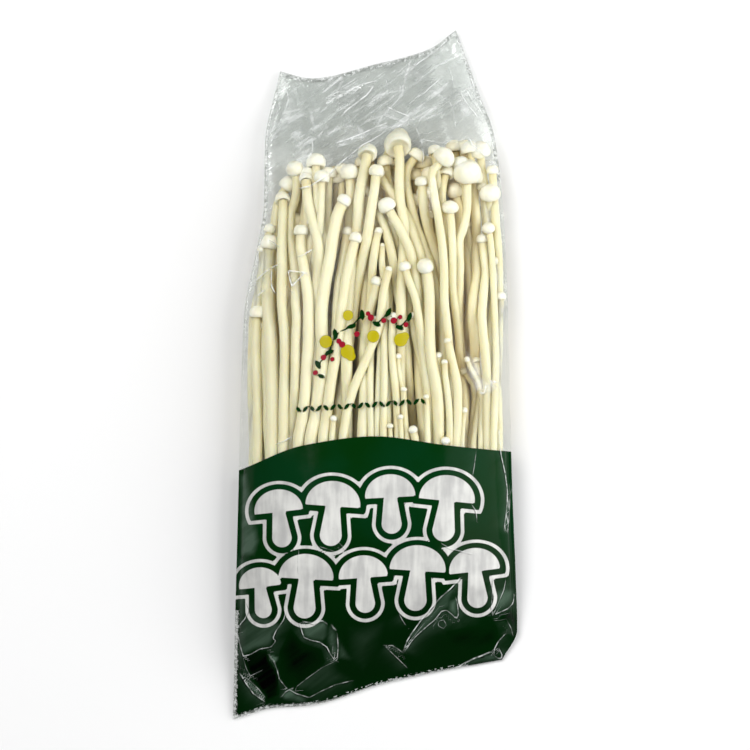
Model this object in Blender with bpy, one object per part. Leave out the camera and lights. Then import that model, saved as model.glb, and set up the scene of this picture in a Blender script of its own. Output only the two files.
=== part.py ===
"""An enoki mushroom bunch in its film bag, lying on its back.

The script's unit is the metre, +Z is up and +Y points to the caps and to the empty top of the bag.
Sizes below are in millimetres and are scaled where a vertex is made. The mushrooms grow out of one
fused root clump, so they are one solid. The bag is two webs of film, sealed to each other round
their edges, and each web is a thin closed sheet.
"""

import math
import random

import bmesh
import bpy
import numpy as np
from mathutils import Vector

MM = 0.001

# The bag's outline seen from above, as (x, y): its side edges run up and its end edges run right.
LEFT_EDGE = (
    (-49.2, -119.3), (-48.4, -89.0), (-47.2, -45.0), (-46.2, -5.0), (-45.0, 22.0),
    (-41.5, 40.0), (-38.2, 60.0), (-38.0, 79.0), (-32.8, 105.0),
)  # fmt: skip
RIGHT_EDGE = (
    (44.0, -98.5), (49.2, -88.0), (48.6, -70.0), (47.2, -35.0), (46.2, 5.0),
    (45.4, 35.0), (44.0, 60.0), (41.0, 83.0), (36.0, 97.0), (28.0, 119.3),
)  # fmt: skip
BOTTOM_EDGE = (
    (-49.2, -119.3), (-36.0, -115.4), (-23.0, -114.4), (4.0, -106.5), (28.6, -101.3), (44.0, -98.5),
)  # fmt: skip
TOP_EDGE = ((-32.8, 105.0), (-22.0, 102.6), (18.6, 112.6), (28.0, 119.3))

# About half the bag's width and its length, for steps along its two directions.
HALF_WIDTH = 46.0
LENGTH = 215.0

FILM = 0.6
SEAL_GAP = 0.3
SEAL_FROM = 0.94

# Heights along the bag, from its bottom edge at 0 to its top edge at 1: the crown of the front web,
# and the side seals where the two webs meet.
CROWN = (
    (0.0, 0.75), (0.03, 3.5), (0.08, 14.0), (0.14, 21.5), (0.26, 26.0), (0.5, 27.0),
    (0.7, 26.0), (0.8, 23.5), (0.87, 18.5), (0.92, 11.5), (0.96, 6.0), (1.0, 2.2),
)  # fmt: skip
SIDE_SEAL = (
    (0.0, 0.75), (0.05, 2.4), (0.15, 7.0), (0.3, 9.0), (0.6, 9.5), (0.8, 8.0), (0.9, 5.0), (1.0, 2.2),
)  # fmt: skip
BACK_FLAT = 0.6
CROWN_POWER = 2.7
CROWN_ROUND = 0.6

# Places of the film's rows of vertices across the bag, from its middle to one side.
FILM_COLUMNS = (0.0, 0.2, 0.39, 0.55, 0.69, 0.8, 0.88, 0.94, 1.0)
FILM_ROWS = 23

# The upper edge of the printed band on the front web, as (x, y).
BAND_TOP = ((-47.0, -33.0), (-24.0, -24.0), (0.0, -21.0), (24.0, -24.0), (47.0, -26.5))

# Mushrooms that show through the front web: cap centre x, y and cap diameter.
LONG_CAPS = (
    (-36.3, 51.0, 4.2), (-32.4, 60.9, 5.0), (-29.7, 66.5, 6.6), (-28.4, 72.1, 6.2), (-26.1, 50.7, 5.2),
    (-23.8, 68.2, 5.0), (-21.5, 73.5, 6.2), (-15.2, 70.2, 5.5), (-10.2, 60.6, 5.2), (-9.9, 50.0, 4.4),
    (-9.3, 70.8, 7.0), (-7.0, 47.7, 4.6), (-2.3, 76.4, 7.0), (0.3, 70.5, 5.4), (2.6, 58.9, 6.0),
    (7.2, 80.1, 9.3), (7.6, 83.4, 8.0), (13.8, 74.1, 7.0), (14.8, 67.5, 5.2), (17.5, 55.0, 4.6),
    (23.1, 75.8, 7.0), (24.1, 70.8, 5.5), (25.0, 58.6, 5.9), (26.7, 64.5, 5.9), (31.3, 71.5, 8.6),
    (35.9, 47.4, 4.4), (36.6, 79.1, 6.5), (38.0, 70.9, 5.2), (38.6, 50.4, 4.6), (39.9, 64.9, 6.6),
)  # fmt: skip
SHORT_CAPS = (
    (-41.1, 17.5, 3.4), (-39.2, 38.6, 3.4), (-14.3, -14.6, 2.8), (-5.5, -4.8, 2.8), (-0.4, 19.6, 2.8),
    (0.2, 32.8, 3.6), (4.8, -17.0, 2.6), (5.5, 20.5, 3.4), (7.5, 7.3, 2.8), (9.3, 37.8, 4.2),
    (12.8, 20.2, 2.8), (16.9, 38.3, 5.5), (17.2, -7.1, 2.6), (20.5, 27.1, 2.8), (25.2, 12.2, 2.8),
    (31.1, 6.0, 2.8), (41.0, 40.3, 3.2), (42.6, 27.4, 3.6),
)  # fmt: skip
# The two rows that the long ones take turns in: depth, and how far out their stems stand.
LONG_ROWS = ((0.94, 0.88), (0.7, 0.76))
SHORT_DEPTH = 1.0
SHORT_STEM_RADIUS = 1.0
STEMS_SPREAD_TO = 0.4

# Mushrooms further down, in level rows.
ROW_HEIGHTS = (2.8, 7.8, 12.9)
ROW_PITCH = 5.1
ROW_REACH = 0.88
STEM_RADIUS = 1.75
SEED = 11

LONG_SIDES = 6
SIDES = 5
ROOT_AT = 0.11
CLUMP_FROM = 0.075
CLUMP_TO = 0.175
CLUMP_REACH = 0.8
CLUMP_SIDES = 16
PINCH = 0.74
PINCH_TO = 0.4
ROOTS_SUNK = 0.45
CLEAR_BELOW = 0.35
CLEAR_ABOVE = 0.6
WAVE = 0.022

# A cap's rings from its underside to its dome, and its top: radius and height over the cap's radius.
CAP_RINGS = ((0.88, -0.3), (1.0, 0.02), (0.84, 0.5))
CAP_TOP = 0.9


def profile(points):
    """A smooth curve through points whose first values rise, which overshoots none of them."""
    x, y = np.array(points, float).T
    step = np.diff(x)
    rise = np.diff(y) / step
    turns = rise[:-1] * rise[1:]
    mean = np.where(turns > 0, 2 * turns / np.where(turns > 0, rise[:-1] + rise[1:], 1), 0)
    slope = np.concatenate((rise[:1], mean, rise[-1:]))

    def at(value):
        i = np.clip(np.searchsorted(x, value) - 1, 0, len(step) - 1)
        s = (value - x[i]) / step[i]
        bend = s * (1 - s) * ((1 - s) * (slope[i] - rise[i]) - s * (slope[i + 1] - rise[i]))
        return y[i] + (y[i + 1] - y[i]) * s + bend * step[i]

    return at


def edge_profile(points, along, value):
    """The edge's x or y as a function of the fraction of the way along it."""
    start, end = points[0][along], points[-1][along]
    return profile([((p[along] - start) / (end - start), p[value]) for p in points])


left_x = edge_profile(LEFT_EDGE, 1, 0)
right_x = edge_profile(RIGHT_EDGE, 1, 0)
bottom_y = edge_profile(BOTTOM_EDGE, 0, 1)
top_y = edge_profile(TOP_EDGE, 0, 1)
crown = profile(CROWN)
side_seal = profile(SIDE_SEAL)
band_top = profile(BAND_TOP)


def plan(u, t):
    """The point of the bag seen from above: u is -1 at its left edge and 1 at its right, t is 0 at
    its bottom edge and 1 at its top."""
    s = (u + 1) / 2
    x = left_x(t) + (right_x(t) - left_x(t)) * s
    y = bottom_y(s) + (top_y(s) - bottom_y(s)) * t
    return x, y


def plan_inverse(x, y):
    u, t = 0.0, 0.5
    for _ in range(12):
        x_now, y_now = plan(u, t)
        u += (x - x_now) / HALF_WIDTH
        t += (y - y_now) / LENGTH
    return u, t


def front_height(u, t):
    """Middle of the front web's thickness."""
    across = np.minimum(np.abs(u) / SEAL_FROM, 1)
    bulge = (1 - across**CROWN_POWER) ** CROWN_ROUND
    return side_seal(t) + (FILM + SEAL_GAP) / 2 + (crown(t) - side_seal(t)) * bulge


def back_height(u, t):
    """Middle of the back web's thickness: flat on the table, and up to the seals at its sides."""
    across = np.clip((np.abs(u) - BACK_FLAT) / (SEAL_FROM - BACK_FLAT), 0, 1)
    rise = across * across * (3 - 2 * across)
    return FILM / 2 + (side_seal(t) - (FILM + SEAL_GAP) / 2 - FILM / 2) * rise


def room(u, t, radius):
    """Lowest and highest place for the middle of a ball of this radius between the webs."""
    turn, tip = np.meshgrid(np.radians(np.arange(0, 360, 45)), np.radians(np.arange(0, 91, 15)))
    below, above = (radius + clear + FILM / 2 for clear in (CLEAR_BELOW, CLEAR_ABOVE))

    def beside(out):
        around_u = u + out * np.cos(turn) * np.cos(tip) / HALF_WIDTH
        around_t = t + out * np.sin(turn) * np.cos(tip) / LENGTH
        return np.clip(around_u, -1, 1), np.clip(around_t, 0, 1)

    low = back_height(*beside(below)) + below * np.sin(tip)
    high = front_height(*beside(above)) - above * np.sin(tip)
    return low.max(), high.min()


def place(u, t, depth, radius):
    """The point at this depth, 0 on the back web and 1 under the front web, moved in from the sides
    as far as a ball of this radius needs."""
    low, high = room(u, t, radius)
    while high < low and abs(u) > 0.05:
        u *= 0.98
        low, high = room(u, t, radius)
    x, y = plan(u, t)
    return Vector((x, y, low + (high - low) * depth))


def ring_points(centre, axis, radius, sides):
    side = axis.cross(Vector((0, 0, 1))).normalized()
    up = side.cross(axis)
    angles = [2 * math.pi * i / sides for i in range(sides)]
    return [centre + radius * (side * math.cos(a) + up * math.sin(a)) for a in angles]


def loft(name, rings, tip=None):
    """A closed object through rings of points, which may end in a single tip."""
    bm = bmesh.new()
    loops = [[bm.verts.new(point * MM) for point in ring] for ring in rings]
    count = len(loops[0])
    bm.faces.new(reversed(loops[0]))
    for lower, upper in zip(loops, loops[1:]):
        for i in range(count):
            j = (i + 1) % count
            bm.faces.new((lower[i], lower[j], upper[j], upper[i]))
    if tip is None:
        bm.faces.new(loops[-1])
    else:
        top = bm.verts.new(tip * MM)
        for i in range(count):
            bm.faces.new((loops[-1][i], loops[-1][(i + 1) % count], top))
    bmesh.ops.triangulate(bm, faces=bm.faces)
    bmesh.ops.recalc_face_normals(bm, faces=bm.faces)
    mesh = bpy.data.meshes.new(name)
    bm.to_mesh(mesh)
    bm.free()
    return bpy.data.objects.new(name, mesh)


def mushroom(name, root, u, t, depth, stem, cap, tilt, sides):
    """A stem that leaves its place among its neighbours towards its top, with a domed cap."""
    count = 3 + int(t > 0.6)
    centres, radii = [], []
    for i in range(count):
        part = i / (count - 1)
        at = ROOT_AT + (t - ROOT_AT) * part
        ease = min((at - ROOT_AT) / (PINCH_TO - ROOT_AT), 1)
        pinch = PINCH + (1 - PINCH) * ease * (2 - ease)
        wave = WAVE * math.sin(9 * at + 4 * root + 3 * depth) * math.sin(math.pi * part)
        aside = (u - root) * max((at - STEMS_SPREAD_TO) / (t - STEMS_SPREAD_TO), 0) ** 1.5
        keep = stem + (1.03 * cap - stem) * part**2
        sunk = ROOTS_SUNK * (1 - part) ** 2
        level = depth + (0.5 - depth) * sunk
        centres.append(place((root + aside + wave) * pinch, at, level, keep))
        radii.append(stem * (0.72 + 0.28 * min(1, 3 * part)))
    axes = [(b - a).normalized() for a, b in zip(centres, centres[1:])]
    axes.append((axes[-1] + tilt).normalized())
    rings = [ring_points(*each, sides) for each in zip(centres, axes, radii)]
    end, axis = centres[-1], axes[-1]
    for out, along in CAP_RINGS:
        rings.append(ring_points(end + axis * cap * along, axis, cap * out, sides))
    return loft(name, rings, end + axis * cap * CAP_TOP)


def root_clump():
    """The dense white mass that every stem grows from, cut off square at its end."""
    rings = []
    for part, size in ((0.0, 0.8), (0.2, 0.96), (0.7, 1.0), (1.0, 0.93)):
        t = CLUMP_FROM + (CLUMP_TO - CLUMP_FROM) * part
        ring = []
        for i in range(CLUMP_SIDES):
            angle = 2 * math.pi * i / CLUMP_SIDES
            across = math.copysign(abs(math.cos(angle)) ** 0.75, math.cos(angle))
            depth = 0.5 + 0.5 * math.copysign(abs(math.sin(angle)) ** 0.75, math.sin(angle)) * size
            ring.append(place(CLUMP_REACH * size * across, t, depth, 0.0))
        rings.append(ring)
    return loft("root_clump", rings)


def visible_mushrooms(draw):
    """Those behind the front web, each with its cap where the photograph shows it."""
    made = []
    for row, (depth, reach) in enumerate(LONG_ROWS):
        caps = LONG_CAPS[row::2]
        pitch = 2 * reach / (len(caps) - 1)
        for i, (x, y, cap) in enumerate(caps):
            u, t = plan_inverse(x, y)
            made.append((i * pitch - reach, u, t, depth, STEM_RADIUS, cap / 2, draw(), LONG_SIDES))
    gap = 2 * LONG_ROWS[0][1] / (len(LONG_CAPS[::2]) - 1)
    for x, y, cap in SHORT_CAPS:
        u, t = plan_inverse(x, y)
        root = (math.floor(u / gap) + 0.5) * gap
        made.append((root, u, t, SHORT_DEPTH, SHORT_STEM_RADIUS, cap / 2, draw(), SIDES))
    return made


def hidden_mushrooms(rng, draw):
    """Those underneath, in level rows that are as wide as the bag is at each height."""
    made = []
    count = int(2 * ROW_REACH * HALF_WIDTH / ROW_PITCH)
    for row, height in enumerate(ROW_HEIGHTS):
        for i in range(count):
            u = ROW_REACH * (2 * (i + 0.25 + 0.5 * (row % 2)) / count - 1) + rng.uniform(-0.01, 0.01)
            low, high = room(u, 0.5, STEM_RADIUS)
            if not low - 0.8 < height < high - 4.2:
                continue
            depth = max((height - low) / (high - low), 0)
            short = rng.random() < 0.15
            t = rng.uniform(0.45, 0.68) if short else rng.uniform(0.73, 0.85)
            cap = rng.uniform(1.9, 2.4) if short else rng.uniform(2.4, 3.3)
            made.append((u, u, t, depth, STEM_RADIUS, cap, draw(), SIDES))
    return made


def fuse(name, pieces):
    """One solid of all the pieces. Hollows sealed between stems are filled."""
    base, rest = pieces[0], pieces[1:]
    base.name = name
    base.data.name = name
    bpy.context.scene.collection.objects.link(base)
    others = bpy.data.collections.new("mushrooms")
    bpy.context.scene.collection.children.link(others)
    for piece in rest:
        others.objects.link(piece)
    union = base.modifiers.new("Union", "BOOLEAN")
    union.operation = "UNION"
    union.operand_type = "COLLECTION"
    union.collection = others
    union.solver = "MANIFOLD"
    bpy.context.view_layer.objects.active = base
    bpy.ops.object.modifier_apply(modifier=union.name)
    for piece in rest:
        bpy.data.objects.remove(piece)
    bpy.data.collections.remove(others)
    keep_largest_shell(base)
    return base


def keep_largest_shell(obj):
    bm = bmesh.new()
    bm.from_mesh(obj.data)
    left = set(bm.faces)
    shells = []
    while left:
        shell, edge_of = set(), [left.pop()]
        while edge_of:
            face = edge_of.pop()
            shell.add(face)
            edges = [edge for edge in face.edges if len(edge.link_faces) == 2]
            near = {other for edge in edges for other in edge.link_faces} & left
            left -= near
            edge_of.extend(near)
        shells.append(shell)
    shells.sort(key=len)
    scraps = [face for shell in shells[:-1] for face in shell]
    bmesh.ops.delete(bm, geom=scraps, context="FACES")
    bm.to_mesh(obj.data)
    bm.free()


def film_web(name, height, outward):
    """A thin closed sheet over the bag's whole outline, with FILM of thickness square to it."""
    across = np.array([-u for u in reversed(FILM_COLUMNS[1:])] + list(FILM_COLUMNS))
    along = 0.5 - 0.5 * np.cos(np.pi * np.arange(FILM_ROWS) / (FILM_ROWS - 1))
    u, t = np.meshgrid(across, along)
    x, y = plan(u, t)
    middle = np.stack((x, y, height(u, t)), axis=-1)
    turned = np.cross(np.gradient(middle, axis=1), np.gradient(middle, axis=0))
    normal = turned / np.linalg.norm(turned, axis=-1, keepdims=True)
    bm = bmesh.new()
    layers = []
    for side in (-outward, outward):
        points = (middle + side * FILM / 2 * normal) * MM
        layers.append([[bm.verts.new(point) for point in row] for row in points])
    inner, outer = layers
    rows, columns = u.shape
    for i in range(rows - 1):
        for j in range(columns - 1):
            corners = ((i, j), (i, j + 1), (i + 1, j + 1), (i + 1, j))
            for half in ((0, 1, 2), (0, 2, 3)):
                bm.faces.new([outer[corners[k][0]][corners[k][1]] for k in half])
                bm.faces.new([inner[corners[k][0]][corners[k][1]] for k in reversed(half)])
    rim = [(0, j) for j in range(columns)] + [(i, columns - 1) for i in range(1, rows)]
    rim += [(rows - 1, j) for j in reversed(range(columns - 1))]
    rim += [(i, 0) for i in reversed(range(1, rows - 1))]
    for (i, j), (k, m) in zip(rim, rim[1:] + rim[:1]):
        bm.faces.new((inner[i][j], inner[k][m], outer[k][m]))
        bm.faces.new((inner[i][j], outer[k][m], outer[i][j]))
    bmesh.ops.recalc_face_normals(bm, faces=bm.faces)
    for face in bm.faces:
        centre = face.calc_center_median() / MM
        face.material_index = int(centre.y < band_top(centre.x))
    mesh = bpy.data.meshes.new(name)
    bm.to_mesh(mesh)
    bm.free()
    web = bpy.data.objects.new(name, mesh)
    bpy.context.scene.collection.objects.link(web)
    web.data.materials.append(material("clear_film", (0.8, 0.84, 0.84), 0.12, 0.35))
    web.data.materials.append(material("printed_film", (0.012, 0.06, 0.03), 0.25, 1.0))
    return web


def material(name, color, roughness, alpha=1.0):
    if name in bpy.data.materials:
        return bpy.data.materials[name]
    made = bpy.data.materials.new(name)
    made.use_nodes = True
    shader = made.node_tree.nodes["Principled BSDF"]
    shader.inputs["Base Color"].default_value = (*color, 1)
    shader.inputs["Roughness"].default_value = roughness
    shader.inputs["Metallic"].default_value = 0.0
    shader.inputs["Alpha"].default_value = alpha
    made.diffuse_color = (*color, alpha)
    return made


def enoki_bunch():
    rng = random.Random(SEED)

    def draw():
        return Vector((rng.uniform(-0.3, 0.3), 0, rng.uniform(-0.2, 0.3)))

    placed = visible_mushrooms(draw) + hidden_mushrooms(rng, draw)
    pieces = [root_clump()]
    for i, each in enumerate(placed):
        pieces.append(mushroom(f"mushroom_{i}", *each))
    bunch = fuse("enoki_bunch", pieces)
    bunch.data.materials.append(material("mushroom", (0.86, 0.8, 0.6), 0.5))
    return bunch


for old in list(bpy.data.objects):
    bpy.data.objects.remove(old)

enoki_bunch()
film_web("front_film", front_height, 1)
film_web("back_film", back_height, -1)
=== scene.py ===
import math
import random

import bmesh
import bpy
import numpy as np
from mathutils import Matrix, Vector, kdtree, noise


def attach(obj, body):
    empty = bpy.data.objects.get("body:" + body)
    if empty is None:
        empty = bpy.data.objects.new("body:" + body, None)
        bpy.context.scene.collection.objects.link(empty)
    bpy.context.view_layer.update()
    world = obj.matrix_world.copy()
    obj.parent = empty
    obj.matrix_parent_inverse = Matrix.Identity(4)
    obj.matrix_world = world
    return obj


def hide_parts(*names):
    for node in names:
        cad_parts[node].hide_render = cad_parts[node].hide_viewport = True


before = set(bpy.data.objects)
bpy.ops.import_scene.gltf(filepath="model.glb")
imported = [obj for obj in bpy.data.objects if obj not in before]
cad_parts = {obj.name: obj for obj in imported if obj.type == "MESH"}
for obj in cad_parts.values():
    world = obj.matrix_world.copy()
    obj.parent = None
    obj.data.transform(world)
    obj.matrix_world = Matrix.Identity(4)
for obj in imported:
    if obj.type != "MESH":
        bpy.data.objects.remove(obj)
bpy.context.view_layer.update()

# The back web of the bag
# The lower of the two film webs that the bag is welded from. It lies flat on the table in the middle
# and turns up towards the side seals. Its lower part is printed green. Sizes here and below are in
# millimetres, and are scaled where a mesh is made. u runs across the bag from -1 to 1, and t runs
# along it from 0 at its bottom edge to 1 at its top.

MM = 0.001
LEFT_EDGE = (
    (-49.2, -119.3), (-48.4, -89.0), (-47.2, -45.0), (-46.2, -5.0), (-45.0, 22.0),
    (-41.5, 40.0), (-38.2, 60.0), (-38.0, 79.0), (-32.8, 105.0),
)  # fmt: skip
RIGHT_EDGE = (
    (44.0, -98.5), (49.2, -88.0), (48.6, -70.0), (47.2, -35.0), (46.2, 5.0),
    (45.4, 35.0), (44.0, 60.0), (41.0, 83.0), (36.0, 97.0), (28.0, 119.3),
)  # fmt: skip
BOTTOM_EDGE = (
    (-49.2, -119.3), (-36.0, -115.4), (-23.0, -114.4), (4.0, -106.5), (28.6, -101.3), (44.0, -98.5),
)  # fmt: skip
TOP_EDGE = ((-32.8, 105.0), (-22.0, 102.6), (-0.5, 107.3), (18.6, 112.6), (28.0, 119.3))
HALF_WIDTH = 46.0
LENGTH = 215.0
WEB_APART = 0.9
SEAL_FROM = 0.972
SEAL_WIDE = 1.35
SIDE_SEAL = (
    (0.0, 0.75), (0.05, 2.4), (0.15, 7.0), (0.3, 9.0), (0.6, 9.5), (0.8, 8.0), (0.9, 5.0), (1.0, 2.2),
)  # fmt: skip
LIES_AT = 0.3
BACK_FLAT = 0.6
FILM = 0.12
BACK_COLUMNS = 90
BACK_ROWS = 190
BACK_LIMP_FROM = 0.5
# The value that is stored where a mesh has no print or crease near.
FAR = 50
BAND_TOP = ((-47.0, -33.0), (-24.0, -24.0), (0.0, -21.0), (24.0, -24.0), (47.0, -26.5))
INK_GREEN = (0.0012, 0.027, 0.0025, 1)
INK_COOL = (0.0016, 0.036, 0.011, 1)
INK_DEEP = (0.0004, 0.012, 0.001, 1)
# The ink is lightened towards this where a painted sheen lies on the limp film.
INK_SHEEN = (0.065, 0.11, 0.075, 1)
INK_YELLOW = (0.55, 0.47, 0.005, 1)
INK_RED = (0.30, 0.01, 0.025, 1)
INK_SILVER = (0.71, 0.71, 0.68, 1)
INK_SILVER_DULL = (0.46, 0.46, 0.45, 1)
FILM_CLEAR = (0.992, 0.995, 0.99, 1)
FILM_GREY = (0.927, 0.937, 0.929, 1)
FILM_DARK = (0.84, 0.85, 0.84, 1)
FILM_WHITE = (0.88, 0.90, 0.89, 1)


def profile(points):
    """A smooth curve through points whose first values rise, which overshoots none of them."""
    x, y = np.array(points, float).T
    step = np.diff(x)
    rise = np.diff(y) / step
    turns = rise[:-1] * rise[1:]
    mean = np.where(turns > 0, 2 * turns / np.where(turns > 0, rise[:-1] + rise[1:], 1), 0)
    slope = np.concatenate((rise[:1], mean, rise[-1:]))

    def at(value):
        i = np.clip(np.searchsorted(x, value) - 1, 0, len(step) - 1)
        s = (value - x[i]) / step[i]
        bend = s * (1 - s) * ((1 - s) * (slope[i] - rise[i]) - s * (slope[i + 1] - rise[i]))
        return y[i] + (y[i + 1] - y[i]) * s + bend * step[i]

    return at


def edge_profile(points, along, value):
    start, end = points[0][along], points[-1][along]
    return profile([((p[along] - start) / (end - start), p[value]) for p in points])


left_x = edge_profile(LEFT_EDGE, 1, 0)
right_x = edge_profile(RIGHT_EDGE, 1, 0)
bottom_y = edge_profile(BOTTOM_EDGE, 0, 1)
top_y = edge_profile(TOP_EDGE, 0, 1)
side_seal = profile(SIDE_SEAL)
band_top = profile(BAND_TOP)


def plan(u, t):
    s = (u + 1) / 2
    x = left_x(t) + (right_x(t) - left_x(t)) * s
    y = bottom_y(s) + (top_y(s) - bottom_y(s)) * t
    return x, y


def plan_inverse(x, y):
    u, t = 0.0 * x, 0.5 + 0.0 * y
    for _ in range(12):
        x_now, y_now = plan(u, t)
        u = np.clip(u + (x - x_now) / HALF_WIDTH, -1, 1)
        t = np.clip(t + (y - y_now) / LENGTH, 0, 1)
    return u, t


def back_height(u, t):
    across = np.clip((np.abs(u) - BACK_FLAT) / (SEAL_FROM - BACK_FLAT), 0, 1)
    rise = across * across * (3 - 2 * across)
    return LIES_AT + (side_seal(t) - WEB_APART / 2 - LIES_AT) * rise


class Socket:
    """A socket of a material's nodes. An expression on it adds Math nodes."""

    def __init__(self, tree, out):
        self.tree = tree
        self.out = out

    def maths(self, operation, *values):
        inputs = {i: value for i, value in enumerate((self, *values))}
        return add_node(self.tree, "ShaderNodeMath", {"operation": operation}, inputs)

    def __add__(self, other):
        return self.maths("ADD", other)

    def __sub__(self, other):
        return self.maths("SUBTRACT", other)

    def __rsub__(self, other):
        return self.maths("MULTIPLY_ADD", -1.0, other)

    def __mul__(self, other):
        return self.maths("MULTIPLY", other)

    def at_most(self, limit):
        return self.maths("MINIMUM", limit)

    def at_least(self, limit):
        return self.maths("MAXIMUM", limit)

    __radd__ = __add__
    __rmul__ = __mul__

    def step(self, edge, soft):
        """0 below the edge and 1 above it, over a soft width."""
        sides = {"Value": self, "From Min": edge - soft / 2, "From Max": edge + soft / 2}
        return add_node(self.tree, "ShaderNodeMapRange", {"interpolation_type": "SMOOTHSTEP"}, sides)

    def band(self, low, high, soft):
        return self.step(low, soft) * (1 - self.step(high, soft))


def add_node(tree, kind, settings, inputs, out=0):
    made = tree.nodes.new(kind)
    for name, value in settings.items():
        setattr(made, name, value)
    for name, value in inputs.items():
        if isinstance(value, Socket):
            tree.links.new(value.out, made.inputs[name])
        else:
            made.inputs[name].default_value = value
    return Socket(tree, made.outputs[out]) if made.outputs else None


def new_material(name):
    made = bpy.data.materials.new(name)
    made.use_nodes = True
    made.node_tree.nodes.clear()
    return made, made.node_tree


def mix_colors(tree, factor, low, high):
    inputs = {"Factor": factor, 6: low, 7: high}
    return add_node(tree, "ShaderNodeMix", {"data_type": "RGBA"}, inputs, 2)


def object_place(tree, scale=(1, 1, 1)):
    where = add_node(tree, "ShaderNodeTexCoord", {}, {}, 3)
    return add_node(tree, "ShaderNodeMapping", {}, {"Vector": where, "Scale": scale})


def soft_noise(tree, where, scale, detail=3.0):
    return add_node(tree, "ShaderNodeTexNoise", {}, {"Vector": where, "Scale": scale, "Detail": detail})


def stored(tree, name):
    return add_node(tree, "ShaderNodeAttribute", {"attribute_name": name}, {}, 2)


def printed_with(tree, name):
    """1 on one colour of the print and 0 beside it."""
    return 1 - stored(tree, name).step(0.0, 0.2)


def turned_cells(tree, where, degrees, size):
    """Places counted in cells of a size, which are turned about the bag's height."""
    inputs = {"Vector": where, "Rotation": (0, 0, math.radians(degrees)), "Scale": size}
    return add_node(tree, "ShaderNodeMapping", {"vector_type": "TEXTURE"}, inputs)


def add_bump(tree, height, strength, distance):
    inputs = {"Height": height, "Strength": strength, "Distance": distance}
    return add_node(tree, "ShaderNodeBump", {}, inputs)


def add_body(tree, inputs):
    return add_node(tree, "ShaderNodeBsdfPrincipled", {}, inputs)


def mix_bodies(tree, factor, first, second):
    return add_node(tree, "ShaderNodeMixShader", {}, {0: factor, 1: first, 2: second})


def set_surface(tree, body):
    add_node(tree, "ShaderNodeOutputMaterial", {}, {"Surface": body})


def add_object(name, data):
    made = bpy.data.objects.new(name, data)
    bpy.context.scene.collection.objects.link(made)
    return made


def mesh_of(bm, name):
    """The finished mesh of a bmesh, which isn't needed after it."""
    mesh = bpy.data.meshes.new(name)
    bm.to_mesh(mesh)
    bm.free()
    return mesh


def point_places(mesh):
    flat = np.empty(len(mesh.vertices) * 3)
    mesh.vertices.foreach_get("co", flat)
    return flat.reshape(-1, 3).T


def store(mesh, name, values):
    mesh.attributes.new(name, "FLOAT", "POINT").data.foreach_set("value", values)


def add_piece(name, mesh, material, slot, *stands_for):
    piece = add_object(name, mesh)
    mesh.materials.clear()
    mesh.materials.append(material)
    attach(piece, "root")
    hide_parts(*stands_for)
    return piece


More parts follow.
